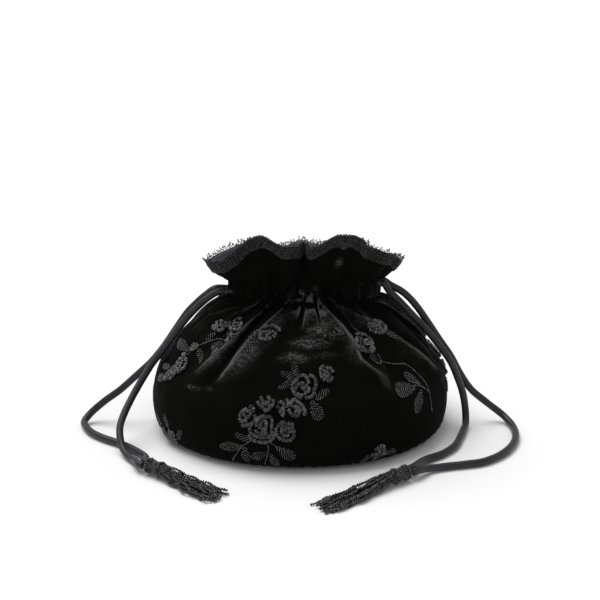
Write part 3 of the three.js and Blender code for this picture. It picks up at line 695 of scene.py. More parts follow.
def makeVelvet():
    look = velvetLook
    paint = Paint("black_velvet", {
        "Sheen Weight": look["sheen"], "Sheen Roughness": look["sheenRough"],
        "Sheen Tint": look["sheenTint"], "Specular IOR Level": look["gloss"],
    })
    place = paint.place()
    wrap = paint.attribute("wrap", True)
    streaks = paint.noise(paint.stretched(wrap, (1, 1, 0.3)), 170, 4, 0.6, 0.6)
    clouds = paint.noise(place, 38, 4, 0.6, 0.8)
    creases = paint.noise(paint.stretched(place, (1, 1, 2.2)), 120, 4, 0.62, 1.1)
    pile = paint.noise(place, 1500, 2, 0.6)
    ridge = paint.attribute("ridge")
    slope = paint.attribute("slope")
    patch = paint.attribute("patch")
    soft = clouds.ramp(0.3, 0.75)
    brushed = paint.noise(paint.stretched(place, (1, 1, 2.6)), 160, 5, 0.68, 1.6).ramp(0.42, 0.68)
    # Painted light and shade: a glow behind a crease's crest, a highlight on it, and shade in its drop.
    lit = paint.attribute("lit")
    crest = paint.attribute("crest") + (streaks - 0.5) * 0.8 + 0.5
    line = (1 - crest.size() * 0.75).ramp(0, 1) * paint.attribute("crestShare")
    crushAndHighlight = patch.ramp(0.1, 0.9) * (0.08 + soft * 0.3 + brushed * 0.85)
    edges = ridge.ramp(0.15, 0.9) * (0.15 + streaks * 0.4) + line * (0.3 + streaks * 0.6)
    slopes = slope.ramp(0.1, 0.9) * (0.12 + soft * 0.2 + brushed * 0.3)
    plateau = lit.ramp(0.1, 1) * (0.03 + soft * 0.28 + brushed * 0.32)
    lifted = clouds.ramp(0.52, 0.8) * streaks.ramp(0.4, 0.75)
    shaded = 1 - (0 - lit).ramp(0.05, 0.7) * 0.85
    paintedLight = (crushAndHighlight * 0.85 + slopes * 0.6 + plateau + lifted * 0.1) * shaded + edges * 0.7
    mottled = paint.colour(pile.ramp(0.35, 0.7) * 0.6 + clouds * 0.4, look["deep"], look["soft"])
    colour = paint.blend(paintedLight.ramp(0, 1) * (0.5 + pile), mottled, (*look["crushAndHighlight"], 1))
    rough = 0.92 - paintedLight.ramp(0, 1.2) * 0.3
    folds = paint.bump(streaks * 0.5 + creases * (0.4 + patch * 0.6), 0.5)
    return paint.finish(colour=colour, rough=rough, normal=paint.bump(pile, 0.18, 0.7, folds))


# Satin: smooth and faintly violet, with the weave's fine ribs and soft pulls along "flow".
def makeSatin(name, low, high, ribs, flow):
    paint = Paint(name, {
        "Sheen Weight": 0.06, "Sheen Roughness": 0.4, "Sheen Tint": (0.8, 0.78, 0.85, 1),
        "Specular IOR Level": 0.35,
    })
    rib, pulled = ribs(paint), flow(paint)
    weave = (rib * 2 * math.pi).sine()
    pull = paint.noise(pulled, 1, 3, 0.55, 0.4)
    tone = paint.noise(paint.place(), 60, 3, 0.5)
    colour = paint.colour(tone.ramp(0.3, 0.75) * 0.6 + pull.ramp(0.35, 0.7) * 0.4, low, high)
    rough = 0.33 + tone * 0.16 + weave * 0.02
    soft = paint.bump(pull, 0.7, 0.8)
    return paint.finish(colour=colour, rough=rough, normal=paint.bump(weave, 0.03, 0.5, soft))


# On a cord the ribs climb round it, and the pulls follow it.
def cordRibs(paint):
    return paint.part(paint.along(), 0) * 5 + paint.part(paint.along(), 1) * 1300


def cordFlow(paint):
    return paint.stretched(paint.along(), (3, 45, 1))


def liningRibs(paint):
    return paint.part(paint.place(), 2) * 1500 + paint.part(paint.attribute("wrap", True), 0) * 1100


def liningFlow(paint):
    return paint.stretched(paint.attribute("wrap", True), (130, 130, 25))


# Thread of the lace and the stitches: dull, with a twist's fine mottle.
def makeThread(name, low, high, gloss, sheen):
    paint = Paint(name, {"Specular IOR Level": gloss, "Sheen Weight": sheen})
    place = paint.place()
    fibre = paint.noise(place, 2200, 2, 0.6)
    tone = paint.noise(place, 240, 3, 0.6)
    colour = paint.colour(tone.ramp(0.3, 0.7) * 0.6 + fibre * 0.4, low, high)
    return paint.finish(colour=colour, rough=0.6 + fibre * 0.25, normal=paint.bump(fibre, 0.08, 0.6))


# Glass beads: dark and mirror-like, each a little different in shade and polish.
def makeGlass(name, low, high, metal, coat):
    paint = Paint(name, {"Coat Roughness": 0.08, "Specular IOR Level": 0.6})
    place = paint.place()
    each = paint.attribute("shade")
    smear = paint.noise(place, 420, 3, 0.6)
    colour = paint.colour(each.ramp(0.15, 1) * 0.8 + smear * 0.2, low, high)
    rough = 0.16 + each * 0.14 + smear.ramp(0.45, 0.8) * 0.15
    coated = coat * (0.6 + smear * 0.4)
    return paint.finish(
        colour=colour, rough=rough, metal=metal * (0.8 + each * 0.2), coat=coated,
        normal=paint.bump(smear, 0.05, 0.4))


velvet = makeVelvet()
cordSatin = makeSatin("cord_satin", (0.011, 0.0103, 0.0122), (0.026, 0.024, 0.0285), cordRibs, cordFlow)
liningSatin = makeSatin(
    "lining_satin", (0.045, 0.039, 0.052), (0.075, 0.067, 0.085), liningRibs, liningFlow)
laceThread = makeThread("lace_thread", (0.006, 0.006, 0.0062), (0.066, 0.066, 0.067), 0.3, 0.08)
sewingThread = makeThread("sewing_thread", (0.0015, 0.0015, 0.0015), (0.005, 0.005, 0.005), 0.12, 0)
gunmetal = makeGlass("gunmetal_beads", (0.03, 0.03, 0.031), (0.17, 0.17, 0.175), 0.8, 0.4)
jet = makeGlass("jet_beads", (0.003, 0.003, 0.0032), (0.085, 0.085, 0.088), 0.6, 0.5)
print("stage: materials")


velvetWall = 2.2
lightFrom = unit(np.array([-0.35, -0.35, 0.87]))


# Where a row's points lie on the bag as a cloth: round it and up it, without a seam.
def wrapPlace(turns, ups):
    angle = 2 * math.pi * turns
    around = mm * surfaceRound.max() / (2 * math.pi)
    return np.stack([np.cos(angle) * around, np.sin(angle) * around, ups * mm], -1)


# How much more a slope turns up to the light than the bag does there: -1 to 1.
def slopeShade(points, normals):
    broad = normals.copy()
    for step in (6, 12, 18, 24):
        broad += np.roll(normals, step, axis=1) + np.roll(normals, -step, axis=1)
    return np.clip(((normals - unit(broad)) * lightFrom).sum(axis=-1) * 2.6, -1, 1)


# How sharply the cloth stands up above what lies beside it: 1 on a crest, 0 elsewhere.
def crestShade(points, normals, reach):
    shade = np.zeros(points.shape[:2])
    for step in (reach, 2 * reach):
        sides = (np.roll(points, step, axis=1) + np.roll(points, -step, axis=1)) / 2
        shade += ((points - sides) * normals).sum(axis=-1) / step
    return np.clip(shade * 0.9, 0, 1)


def buildVelvet():
    rowCount, columnCount = velvetPoints.shape[:2]
    inner = velvetPoints - velvetNormals * velvetWall
    inner[..., 2] = np.maximum(inner[..., 2], 0.3)
    hiddenStep = 6
    hidden = inner[::-1][::hiddenStep]
    rim = mixed(velvetPoints[-1], inner[-1], 0.5)
    rim = rim + unit(velvetPoints[-1] - velvetPoints[-2]) * 0.8
    rows = [*velvetPoints, rim, *hidden, inner[0]]
    piece = makeSkin("velvet_bag", rows, velvet)
    # Crests and slopes that face the lamp become painted highlights in the velvet's colour.
    ridge = crestShade(velvetPoints, velvetNormals, 3)
    levels = np.concatenate([velvetLevels, [3], velvetLevels[::-1][::hiddenStep], [0]])
    turnGrid, levelGrid = np.meshgrid(velvetTurns, levels)
    addAttribute(piece, "wrap", wrapPlace(turnGrid, upAt(levelGrid)), "FLOAT_VECTOR")
    blank = np.zeros((len(rows) - rowCount, columnCount))
    ridge *= mixed(1, 0.25, smoothstep(0.92, 1.05, velvetLevels))[:, None]
    addAttribute(piece, "ridge", np.concatenate([ridge, blank]))
    slope = slopeShade(velvetPoints, velvetNormals)
    slope *= mixed(1, 0.3, smoothstep(1.9, 2.1, velvetLevels))[:, None]
    addAttribute(piece, "slope", np.concatenate([slope, blank]))
    for shade, values in velvetShades.items():
        addAttribute(piece, shade, np.concatenate([values, blank]))
    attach(piece, "root")
    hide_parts("velvet_shell")


buildVelvet()
print("stage: velvet")

lining = dict(
    wall=1, frillGap=0.9, throatInset=11.5, endRoom=9.5, columns=360, pleats=36, pleatHigh=1.3,
    bodyGap=2.8, sag=2.5, pleatLoose=3, footInset=4, floorHeight=3.9,
    throat=(2.16, 2.0, 1.75, 1.5, 1.25, 1.0),
    body=(0.9, 0.84, 0.78, 0.7, 0.62, 0.54, 0.46, 0.38, 0.3, 0.22, 0.15, 0.09, 0.05),
)


# The lining follows the velvet in the frill, stands off it behind the casing, and hangs below it.
def liningRows(extra):
    turns = np.arange(lining["columns"]) / lining["columns"] - 0.5
    picks = np.round((turns + 0.5) * velvetGrid["columns"]).astype(int)
    inset = velvetWall + lining["frillGap"] + extra
    rows, levels = [], []
    frillStart = np.searchsorted(velvetLevels, 2.32)
    softened = unit(velvetNormals + np.roll(velvetNormals, 6, axis=1) + np.roll(velvetNormals, -6, axis=1))
    for i in range(len(velvetLevels) - 1, frillStart, -2):
        rows.append(velvetPoints[i, picks] - softened[i, picks] * inset)
        levels.append(velvetLevels[i])
    stray = noiseGrid(onCircle(turns), 2, 9)
    fold = np.abs(np.sin(math.pi * (turns * lining["pleats"] + 1.2 * stray))) * (0 if extra else 1)
    for level in lining["throat"]:
        reach = lining["throatInset"] + extra
        x, y, nx, ny = oval(neckHalfWidth - lining["endRoom"] - reach, neckHalfDepth - reach, turns)
        z = casingTop + (level - 2) * bag["casingHeight"]
        tuck = -lining["pleatHigh"] * fold
        rows.append(np.stack([x + bag["neckShift"] + nx * tuck, y + ny * tuck, np.full_like(x, z)], -1))
        levels.append(level)
    sag = noiseGrid(np.array([clothRow(turns, level)[0] for level in lining["body"]]), 0.035, 11)
    for k, level in enumerate(lining["body"]):
        points, normals = clothRow(turns, level)
        loose = lining["bodyGap"] + extra + lining["sag"] * np.abs(sag[k])
        loose = loose + lining["pleatLoose"] * smoothstep(0.5, 0.95, level) * fold
        rows.append(points - normals * loose[:, None])
        levels.append(level)
    foot, normals = clothRow(turns, 0)
    foot = foot - normals * (lining["footInset"] + extra)
    middle = np.array([[0, 0, 0]])
    for share, lift in ((0, 1), (0.35, 0), (0.7, 0)):
        flat = mixed(foot, middle, share)
        flat[:, 2] = lining["floorHeight"] + extra + lift
        rows.append(flat)
        levels.append(0)
    return rows, levels, turns


def buildLining():
    inner, levels, turns = liningRows(lining["wall"])
    outer, _, _ = liningRows(0)
    rows = [*inner[::-1], *outer]
    piece = makeSkin("satin_lining", rows, liningSatin, capped=True)
    both = np.array([*levels[::-1], *levels])
    turnGrid, levelGrid = np.meshgrid(turns, both)
    wrap = wrapPlace(turnGrid, upAt(levelGrid)).reshape(-1, 3)
    addAttribute(piece, "wrap", np.concatenate([wrap, [[0, 0, 0], [0, 0, 0]]]), "FLOAT_VECTOR")
    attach(piece, "root")
    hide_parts("lining")


buildLining()
bpy.data.objects["base_disc"].material_slots[0].material = velvet
print("stage: lining")


# Paths as one mesh of edges, with the way off the cloth at each point.
def pathMesh(name, paths, outs=None):
    points = np.concatenate(paths)
    edges = []
    start = 0
    for path in paths:
        edges += [(start + i, start + i + 1) for i in range(len(path) - 1)]
        start += len(path)
    mesh = bpy.data.meshes.new(name)
    mesh.from_pydata((points * mm).tolist(), edges, [])
    piece = addObject(name, mesh)
    if outs is not None:
        addAttribute(piece, "out", np.concatenate(outs), "FLOAT_VECTOR")
    return piece


# A Geometry Nodes tree with named inputs.
class Tree:
    def __init__(self, name, inputs):
        self.tree = bpy.data.node_groups.new(name, "GeometryNodeTree")
        self.tree.interface.new_socket("Geometry", in_out="INPUT", socket_type="NodeSocketGeometry")
        for label, kind in inputs.items():
            self.tree.interface.new_socket(label, in_out="INPUT", socket_type=kind)
        self.tree.interface.new_socket("Geometry", in_out="OUTPUT", socket_type="NodeSocketGeometry")
        self.start = self.tree.nodes.new("NodeGroupInput")
        self.end = self.tree.nodes.new("NodeGroupOutput")

    def given(self, name):
        return self.start.outputs[name]

    def node(self, kind, settings=None, inputs=None, output=0):
        made = self.tree.nodes.new(kind)
        for key, value in (settings or {}).items():
            setattr(made, key, value)
        for key, value in (inputs or {}).items():
            if isinstance(value, bpy.types.NodeSocket):
                self.tree.links.new(value, made.inputs[key])
            else:
                made.inputs[key].default_value = value
        return made.outputs[output]

    def evenCurve(self, step):
        curve = self.node("GeometryNodeMeshToCurve", {}, {"Mesh": self.given("Geometry")})
        inputs = {"Curve": curve, "Length": self.given(step)}
        return self.node("GeometryNodeResampleCurve", dict(mode="LENGTH"), inputs)

    def coated(self, geometry):
        smoothed = self.node("GeometryNodeSetShadeSmooth", {}, {"Geometry": geometry})
        inputs = {"Geometry": smoothed, "Material": self.given("Material")}
        return self.node("GeometryNodeSetMaterial", {}, inputs)

    def finish(self, geometry):
        self.tree.links.new(geometry, self.end.inputs[0])
        return self.tree


def makeThreadTree():
    tree = Tree("threads", {
        "Step": "NodeSocketFloat", "Radius": "NodeSocketFloat", "Sides": "NodeSocketInt",
        "Material": "NodeSocketMaterial",
    })
    section = tree.node("GeometryNodeCurvePrimitiveCircle", {}, {
        "Resolution": tree.given("Sides"), "Radius": tree.given("Radius")})
    thread = tree.node("GeometryNodeCurveToMesh", {}, {
        "Curve": tree.evenCurve("Step"), "Profile Curve": section, "Fill Caps": True})
    real = tree.node("GeometryNodeRealizeInstances", {}, {"Geometry": thread})
    return tree.finish(tree.coated(real))


# Beads strung along paths: each turned along its path and off the cloth, with small differences.
def makeBeadTree():
    tree = Tree("strung_beads", {
        "Pitch": "NodeSocketFloat", "Size": "NodeSocketVector", "Stray": "NodeSocketFloat",
        "Segments": "NodeSocketInt", "Rings": "NodeSocketInt", "Seed": "NodeSocketInt",
        "Material": "NodeSocketMaterial",
    })
    points = tree.node("GeometryNodeCurveToPoints", dict(mode="EVALUATED"), {
        "Curve": tree.evenCurve("Pitch")})
    out = tree.node("GeometryNodeInputNamedAttribute", dict(data_type="FLOAT_VECTOR"), {"Name": "out"})
    facing = tree.node("FunctionNodeAxesToRotation", dict(primary_axis="X", secondary_axis="Z"), {
        "Primary Axis": points.node.outputs["Tangent"], "Secondary Axis": out})
    bead = tree.node("GeometryNodeMeshUVSphere", {}, {
        "Segments": tree.given("Segments"), "Rings": tree.given("Rings"), "Radius": 0.5})
    seed = tree.given("Seed")
    shade = tree.node("FunctionNodeRandomValue", dict(data_type="FLOAT"), {"Seed": seed}, "Value")
    swing = tree.node("FunctionNodeRandomValue", dict(data_type="FLOAT_VECTOR"), {
        0: (-1, -1, -1), 1: (1, 1, 1), "Seed": seed}, "Value")
    strayed = tree.node("ShaderNodeVectorMath", dict(operation="SCALE"), {
        0: swing, "Scale": tree.given("Stray")})
    grown = tree.node("ShaderNodeVectorMath", dict(operation="MULTIPLY_ADD"), {
        0: strayed, 1: tree.given("Size"), 2: tree.given("Size")})
    strung = tree.node("GeometryNodeInstanceOnPoints", {}, {
        "Points": points, "Instance": bead, "Rotation": facing, "Scale": grown})
    marked = tree.node("GeometryNodeStoreNamedAttribute", dict(data_type="FLOAT", domain="INSTANCE"), {
        "Geometry": strung, "Name": "shade", "Value": shade})
    real = tree.node("GeometryNodeRealizeInstances", {}, {"Geometry": marked})
    return tree.finish(tree.coated(real))


threadTree = makeThreadTree()
beadTree = makeBeadTree()


# Runs a tree on an object of paths and gives the result as a plain mesh object.
def growMesh(name, source, tree, values):
    modifier = source.modifiers.new("grow", "NODES")
    modifier.node_group = tree
    for item in tree.interface.items_tree:
        if item.in_out == "INPUT" and item.name in values:
            modifier[item.identifier] = values[item.name]
    graph = bpy.context.evaluated_depsgraph_get()
    mesh = bpy.data.meshes.new_from_object(source.evaluated_get(graph))
    bpy.data.objects.remove(source)
    mesh.name = name
    return addObject(name, mesh)


def makeThreads(name, paths, diameter, step, material, sides=4):
    source = pathMesh(name + "_paths", paths)
    return growMesh(name, source, threadTree, {
        "Step": step * mm, "Radius": diameter / 2 * mm, "Sides": sides, "Material": material})


def makeBeads(name, paths, outs, pitch, size, material, seed, stray, segments=8, rings=6):
    source = pathMesh(name + "_paths", paths, outs)
    return growMesh(name, source, beadTree, {
        "Pitch": pitch * mm, "Size": tuple(s * mm for s in size), "Stray": stray, "Segments": segments,
        "Rings": rings, "Seed": seed, "Material": material})


def joinPieces(name, pieces):
    with bpy.context.temp_override(active_object=pieces[0], selected_editable_objects=pieces):
        bpy.ops.object.join()
    pieces[0].name = name
    pieces[0].data.name = name
    return pieces[0]


velvetSmooth = unit(sum(np.roll(velvetNormals, shift, axis=1) for shift in (-2, -1, 0, 1, 2)))


# The velvet's surface at any turn and level: the point, and the way off the cloth.
def onVelvet(turns, levels):
    columns = (np.mod(np.asarray(turns, float) + 0.5, 1)) * velvetGrid["columns"]
    rows = np.interp(levels, velvetLevels, np.arange(len(velvetLevels)))
    c0 = np.floor(columns).astype(int) % velvetGrid["columns"]
    c1 = (c0 + 1) % velvetGrid["columns"]
    r0 = np.minimum(np.floor(rows).astype(int), len(velvetLevels) - 2)
    cs = (columns - np.floor(columns))[:, None]
    rs = (rows - r0)[:, None]
    found = []
    for grid in (velvetPoints, velvetSmooth):
        low = mixed(grid[r0, c0], grid[r0, c1], cs)
        high = mixed(grid[r0 + 1, c0], grid[r0 + 1, c1], cs)
        found.append(mixed(low, high, rs))
    return found[0], unit(found[1])


# Drawn places (mm right, mm up) round a spot on the bag, as places on the velvet.
def onPatch(turn, height, drawn, lift):
    level = levelOfHeight(height)
    drawn = np.asarray(drawn, float)
    turns = turn + drawn[:, 0] / roundAt(level)
    levels = levelAt(np.clip(upAt(level) + drawn[:, 1], 1, upAt(2.9)))
    points, outs = onVelvet(turns, levels)
    return points + outs * lift, outs


# The band's width and waving threads, the frayed scallops above it, and the rings between its edges.
lace = dict(
    band=10, threads=4, wave=0.55, sway=0.9, thick=0.5, off=0.6, scallops=84, scallopHigh=3.6, fray=1.6,
    lean=1.2, ringShare=0.9, ringRows=(0.3, 0.72), ringWide=0.75, ringHigh=1.1, picot=1.3,
)


def buildLace():
    count = lace["scallops"]
    turns = np.linspace(0, 1, count * 12 + 1)
    flat = np.ones_like(turns)

    # Places so far below the rim, or above it where below is negative, and so far off the velvet.
    def spot(turns, below, off):
        edge = frillRow(turns, 1.0)
        before = frillRow(turns, 0.75)
        slope = np.linalg.norm(edge - before, axis=1) / 0.25
        points, outs = onVelvet(turns, np.minimum(3 - below / slope, 3))
        past = np.maximum(-below, 0)[:, None]
        rim, _ = onVelvet(turns, np.full_like(turns, 3))
        lower, _ = onVelvet(turns, np.full_like(turns, 2.93))
        return points + unit(rim - lower) * past + outs * off[:, None]

    stray = noiseGrid(onCircle(turns), 60, 21, 1)
    paths = []
    rows = lace["threads"]
    for row in range(rows):
        for side in (-1, 1):
            phase = 2 * math.pi * count * turns + row * math.pi
            below = lace["band"] * (row + 0.5) / rows
            below = below + side * np.sin(phase) * lace["band"] / rows * lace["wave"] + stray * lace["sway"]
            off = lace["off"] + 0.25 * side * np.cos(phase)
            paths.append(spot(turns, below, off))
    for below in (0.2, lace["band"] - 0.3):
        paths.append(spot(turns, below * flat, lace["off"] * flat))
    ringCount = int(count * lace["ringShare"])
    loop = np.linspace(0, 2 * math.pi, 9)
    for row in lace["ringRows"]:
        for i in range(ringCount):
            middle = (i + 0.5 * (row > 0.5)) / ringCount
            loopTurns = middle + lace["ringWide"] * np.sin(loop) / surfaceRound[-1]
            below = row * lace["band"] + lace["ringHigh"] * np.cos(loop)
            paths.append(spot(loopTurns, below, np.full(len(loop), lace["off"] + 0.35)))
    frayed = -lace["scallopHigh"] * (0.8 + lace["fray"] * stray)
    for side in (-1, 1):
        arch = np.abs(np.sin(math.pi * (turns * count + 0.25 * side)))
        paths.append(spot(turns, frayed * arch ** 0.7, 0.2 * side + lace["lean"] * stray))
    piece = makeThreads("lace_edging", paths, lace["thick"], 0.8, laceThread)
    picots = spot(turns[::6], frayed[::6], lace["lean"] * stray[::6])
    knots = makeBeads(
        "lace_picots", [picots], [np.tile([0, 0, 1.0], (len(picots), 1))],
        surfaceRound[-1] / (count * 2), (lace["picot"],) * 3, laceThread, 5, 0.4, 6, 4)
    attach(knots, "root")
    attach(piece, "root")
    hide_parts("lace_trim")


buildLace()
print("stage: lace")


# Running stitches along both edges of the casing, at these levels.
stitch = dict(length=2.4, gap=1.8, thick=0.34, high=0.35, sunk=0.1, lines=(1.02, 1.99))


def buildStitches():
    paths = []
    for level in stitch["lines"]:
        count = int(roundAt(level) / (stitch["length"] + stitch["gap"]))
        for i in range(count):
            start = i / count
            turns = start + np.linspace(0, 1, 5) * stitch["length"] / roundAt(level)
            points, outs = onVelvet(turns, np.full(5, level))
            arch = np.sin(np.linspace(0, math.pi, 5))[:, None]
            paths.append(points + outs * (arch * stitch["high"] - stitch["sunk"]))
    piece = makeThreads("casing_stitches", paths, stitch["thick"], 0.7, sewingThread)
    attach(piece, "root")


buildStitches()
print("stage: stitches")

cords = dict(
    diameter=6.4, exitSpacing=7.4, gap=0.3, leftHeight=125.6, rightHeight=133, slack=1.6,
    sides=18, step=1.6, fullness=0.035, snug=0.985, loopSnug=0.975,
)
# The free cords' points, as in the CAD source.
cordRoutes = dict(
    left_back=[
        (-73.5, 3.4, 125.6), (-82, 3.2, 119.9), (-90.8, 3, 111.9), (-99.7, 3, 102), (-109.6, 2.5, 87.1),
        (-120.5, 1, 71.1), (-132.2, 0, 56.9), (-147.6, 1, 41.8), (-159.5, 2, 30.4), (-173.5, 3, 19.4),
        (-186, 1, 8.6), (-191.1, -6, 3.8), (-189, -17, 3.6), (-182.7, -30.3, 3.6), (-172.2, -42, 3.6),
        (-157, -54, 3.6), (-143, -68, 3.6), (-131.7, -87, 4.8),
    ],
    left_front=[
        (-73, -4.6, 124.5), (-81.7, -6, 119), (-90.1, -7, 111.5), (-98.9, -8, 102), (-109.1, -9, 88.6),
        (-120.7, -10, 72), (-129.2, -13, 62), (-134.6, -18, 54.6), (-140.2, -24, 46.7),
        (-147.4, -34, 35.7), (-152.7, -44, 26.7), (-155.7, -54, 18.8), (-154.8, -64, 11.8),
        (-151.8, -73, 6.2), (-146.2, -84, 4), (-141, -93, 4.8),
    ],
    right_back=[
        (79.4, 3.6, 128.2), (87.3, 3.2, 124), (94, 3, 118.6), (102, 3, 109.3), (112.3, 3, 94),
        (121.3, 3, 79.9), (133.2, 3, 61.9), (141.5, 3, 46), (151.6, 3, 30.8), (165.9, 3, 18.1),
        (179.7, 1, 7.4), (186.7, -10.9, 3.6), (188.8, -31, 3.6), (186.8, -48, 3.6), (179.6, -67, 3.6),
        (168.5, -82.7, 3.6), (154.5, -94.1, 3.6), (139.1, -99, 3.6), (124, -103, 3.6), (109, -109.5, 4.6),
    ],
    right_front=[
        (78, -4.2, 125.5), (86, -5, 117.5), (98.4, -6, 104), (109.5, -8, 92.4), (120.7, -9, 78.5),
        (132.4, -10, 61.5), (138.3, -10, 47.6), (143.3, -8.5, 32.6), (146.2, -7, 16), (146.4, -13, 5.4),
        (143.5, -26, 3.6), (140, -40, 3.6), (133.8, -60, 3.6), (122, -77, 3.6), (107.5, -90, 4.2),
    ],
)
tassels = dict(
    left=dict(head=(-129, -109, 8), tip=(-66, -163, 8)),
    right=dict(head=(91, -123, 8), tip=(16, -186, 8)),
    headDiameter=14, headLength=17, strands=34, bead=2.3, spread=11.5, wander=3.5, crinkle=1.3,
    gather=0.36, pile=8, wraps=9,
)


# A place on a cord's way out of its slit, so far past the casing.
def exitPoint(side, row, past):
    height = cords["leftHeight"] if side < 0 else cords["rightHeight"]
    x = side * bag["neckWidth"] / 2 + bag["neckShift"] + side * past
    return (x, row * cords["exitSpacing"] / 2, height)


# A tassel's start, the ways along it and across it, and its length.
def tasselAxes(place):
    start = np.array(place["head"], float)
    along = np.array(place["tip"], float) - start
    reach = np.linalg.norm(along)
    along = along / reach
    across = unit(np.cross([0, 0, 1], along))
    return start, along, across, reach


def cordPath(name):
    side = -1 if name.startswith("left") else 1
    row = 1 if name.endswith("back") else -1
    start, along, across, _ = tasselAxes(tassels["left" if side < 0 else "right"])
    place = start + across * row * cords["exitSpacing"] / 2
    ends = [tuple(place - along * short) for short in (cords["diameter"], 1.2)]
    starts = [exitPoint(side, row, past) for past in (cords["gap"], cords["diameter"] / 3)]
    path = smoothPath([*starts, *cordRoutes[name], *ends], cords["step"])
    path[:, 2] = np.maximum(path[:, 2], cords["diameter"] / 2 + 0.1)
    return path


# Slight fullness along a cord, as its filling lies.
def cordSwell(path, seed):
    offset = Vector((seed, 0, 0))
    return np.array([1 + cords["fullness"] * noise.noise(Vector(p) * 0.09 + offset) for p in path.tolist()])


def buildCords():
    for seed, name in enumerate(cordRoutes):
        path = cordPath(name)
        piece = makeTube("cord_" + name + "_satin", path, cords["diameter"], cords["sides"], cordSatin,
                         cordSwell(path, seed) * cords["snug"])
        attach(piece, "root")
        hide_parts("cord_" + name)
        length = np.linalg.norm(np.diff(path, axis=0), axis=1).sum() * mm


# The stretch of each cord inside the casing, in at its slit, round the channel and out again.
def buildLoops():
    inset = velvetWall + 0.2 + cords["gap"] + cords["diameter"] / 2 + cords["slack"] / 2
    for side, name in ((-1, "draw_loop_left"), (1, "draw_loop_right")):
        height = exitPoint(side, 1, 0)[2]
        turns = (0.75 if side < 0 else 0.25) + mixed(0.115, 0.885, np.linspace(0, 1, 17))
        x, y, _, _ = oval(neckHalfWidth - inset, neckHalfDepth - inset, turns)
        ring = [(px + bag["neckShift"], py, height) for px, py in zip(x, y)]
        outs = [cords["gap"] + 0.4, -cords["diameter"] / 3, -cords["diameter"]]
        points = [exitPoint(side, side, past) for past in outs] + ring
        points += [exitPoint(side, -side, past) for past in reversed(outs)]
        piece = makeTube(name + "_satin", smoothPath(points, 2), cords["diameter"] * cords["loopSnug"],
                         cords["sides"], cordSatin)
        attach(piece, "root")
        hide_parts(name)


# A tassel: bead strands that fan out and settle on the floor, under a bead-wrapped head.
def tasselPaths(place, seed):
    rand = random.Random(seed)
    start, along, across, reach = tasselAxes(place)
    rise = np.array([0, 0, 1.0])
    strands = []
    shares = np.linspace(0, 1, 17)
    gathered = tassels["headDiameter"] * tassels["gather"]
    hidden = tassels["headLength"] * 0.7
    for i in range(tassels["strands"]):
        angle = 2 * math.pi * i * 0.618
        ring = math.sqrt((i + 0.5) / tassels["strands"])
        side = math.cos(angle) * ring
        lift = math.sin(angle) * ring
        length = reach * rand.uniform(0.86, 1.0)
        bend = [rand.uniform(-1, 1) for _ in range(3)]
        points = []
        for share in shares:
            fan = smoothstep(0, 0.75, share)
            distance = hidden + (length - hidden) * share
            astray = side * mixed(gathered, tassels["spread"], fan)
            astray += tassels["wander"] * fan * math.sin(5 * share * bend[0] + 3 * bend[1])
            astray += tassels["crinkle"] * fan * math.sin(20 * share + 9 * bend[2])
            upward = start[2] + lift * gathered
            floor = tassels["bead"] / 2 + max(lift + 0.35, 0) * tassels["pile"] * (1 - 0.75 * share)
            floor += 0.8 * abs(math.sin(6 * share + 3 * bend[2])) * (1 - share)
            p = start + along * distance + across * astray
            p[2] = mixed(upward, floor, smoothstep(0.02, 0.5, share))
            points.append(p)
        strands.append(smoothPath(points, 1.1))
    wraps = []
    for k in range(tassels["wraps"]):
        share = k / (tassels["wraps"] - 1)
        radius = tassels["headDiameter"] / 2 * (0.98 - 0.22 * math.sin(math.pi * share * 0.9) ** 2) - 0.6
        radius *= 0.72 if k == 0 else 1
        angles = np.linspace(0, 2 * math.pi, 41)
        centre = start + along * (1.2 + share * (tassels["headLength"] - 2))
        ring = centre + radius * (np.cos(angles)[:, None] * across + np.sin(angles)[:, None] * rise)
        wraps.append(ring)
    return strands, wraps


def buildTassel(name, place, seed):
    strands, wraps = tasselPaths(place, seed)
    up = [np.tile([0, 0, 1.0], (len(path), 1)) for path in strands]
    start, along, across, _ = tasselAxes(place)
    centre = [ring - ring[:-1].mean(axis=0) for ring in wraps]
    bead = tassels["bead"]
    hung = makeBeads(name + "_strands", strands, up, bead * 0.94, (bead * 0.9, bead, bead), jet, seed, 0.3)
    head = makeBeads(name + "_head", wraps, centre, 2.1, (2, 2.1, 2.1), jet, seed + 1, 0.25)
    core = smoothPath([start + along * d for d in (0.6, 6, 12, tassels["headLength"] - 1)], 1.5)
    swell = 1 - 0.12 * np.sin(np.linspace(0, math.pi, len(core)))
    body = makeTube(name + "_core", core, tassels["headDiameter"] - 3.4, 16, cordSatin, swell)
    threads = makeThreads(name + "_threads", [path[::3] for path in strands], 0.7, 3, sewingThread)
    piece = joinPieces(name + "_beads", [hung, head, body, threads])
    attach(piece, "root")
    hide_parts(name)
    return piece


tasselPieces = {
    side: buildTassel("tassel_" + side, tassels[side], seed) for side, seed in (("left", 11), ("right", 21))}
buildCords()
buildLoops()
print("stage: cords and tassels")


# How the beads are strung: distance between them, size along, across and off the cloth, and lift.
beadSizes = dict(
    rope=dict(pitch=1.2, size=(1.3, 4.0, 3.0), lift=1.1),
    petal=dict(pitch=1.2, size=(1.3, 2.9, 2.3), lift=0.9),
    seed=dict(pitch=0.98, size=(1.0, 1.05, 1.0), lift=0.42),
)


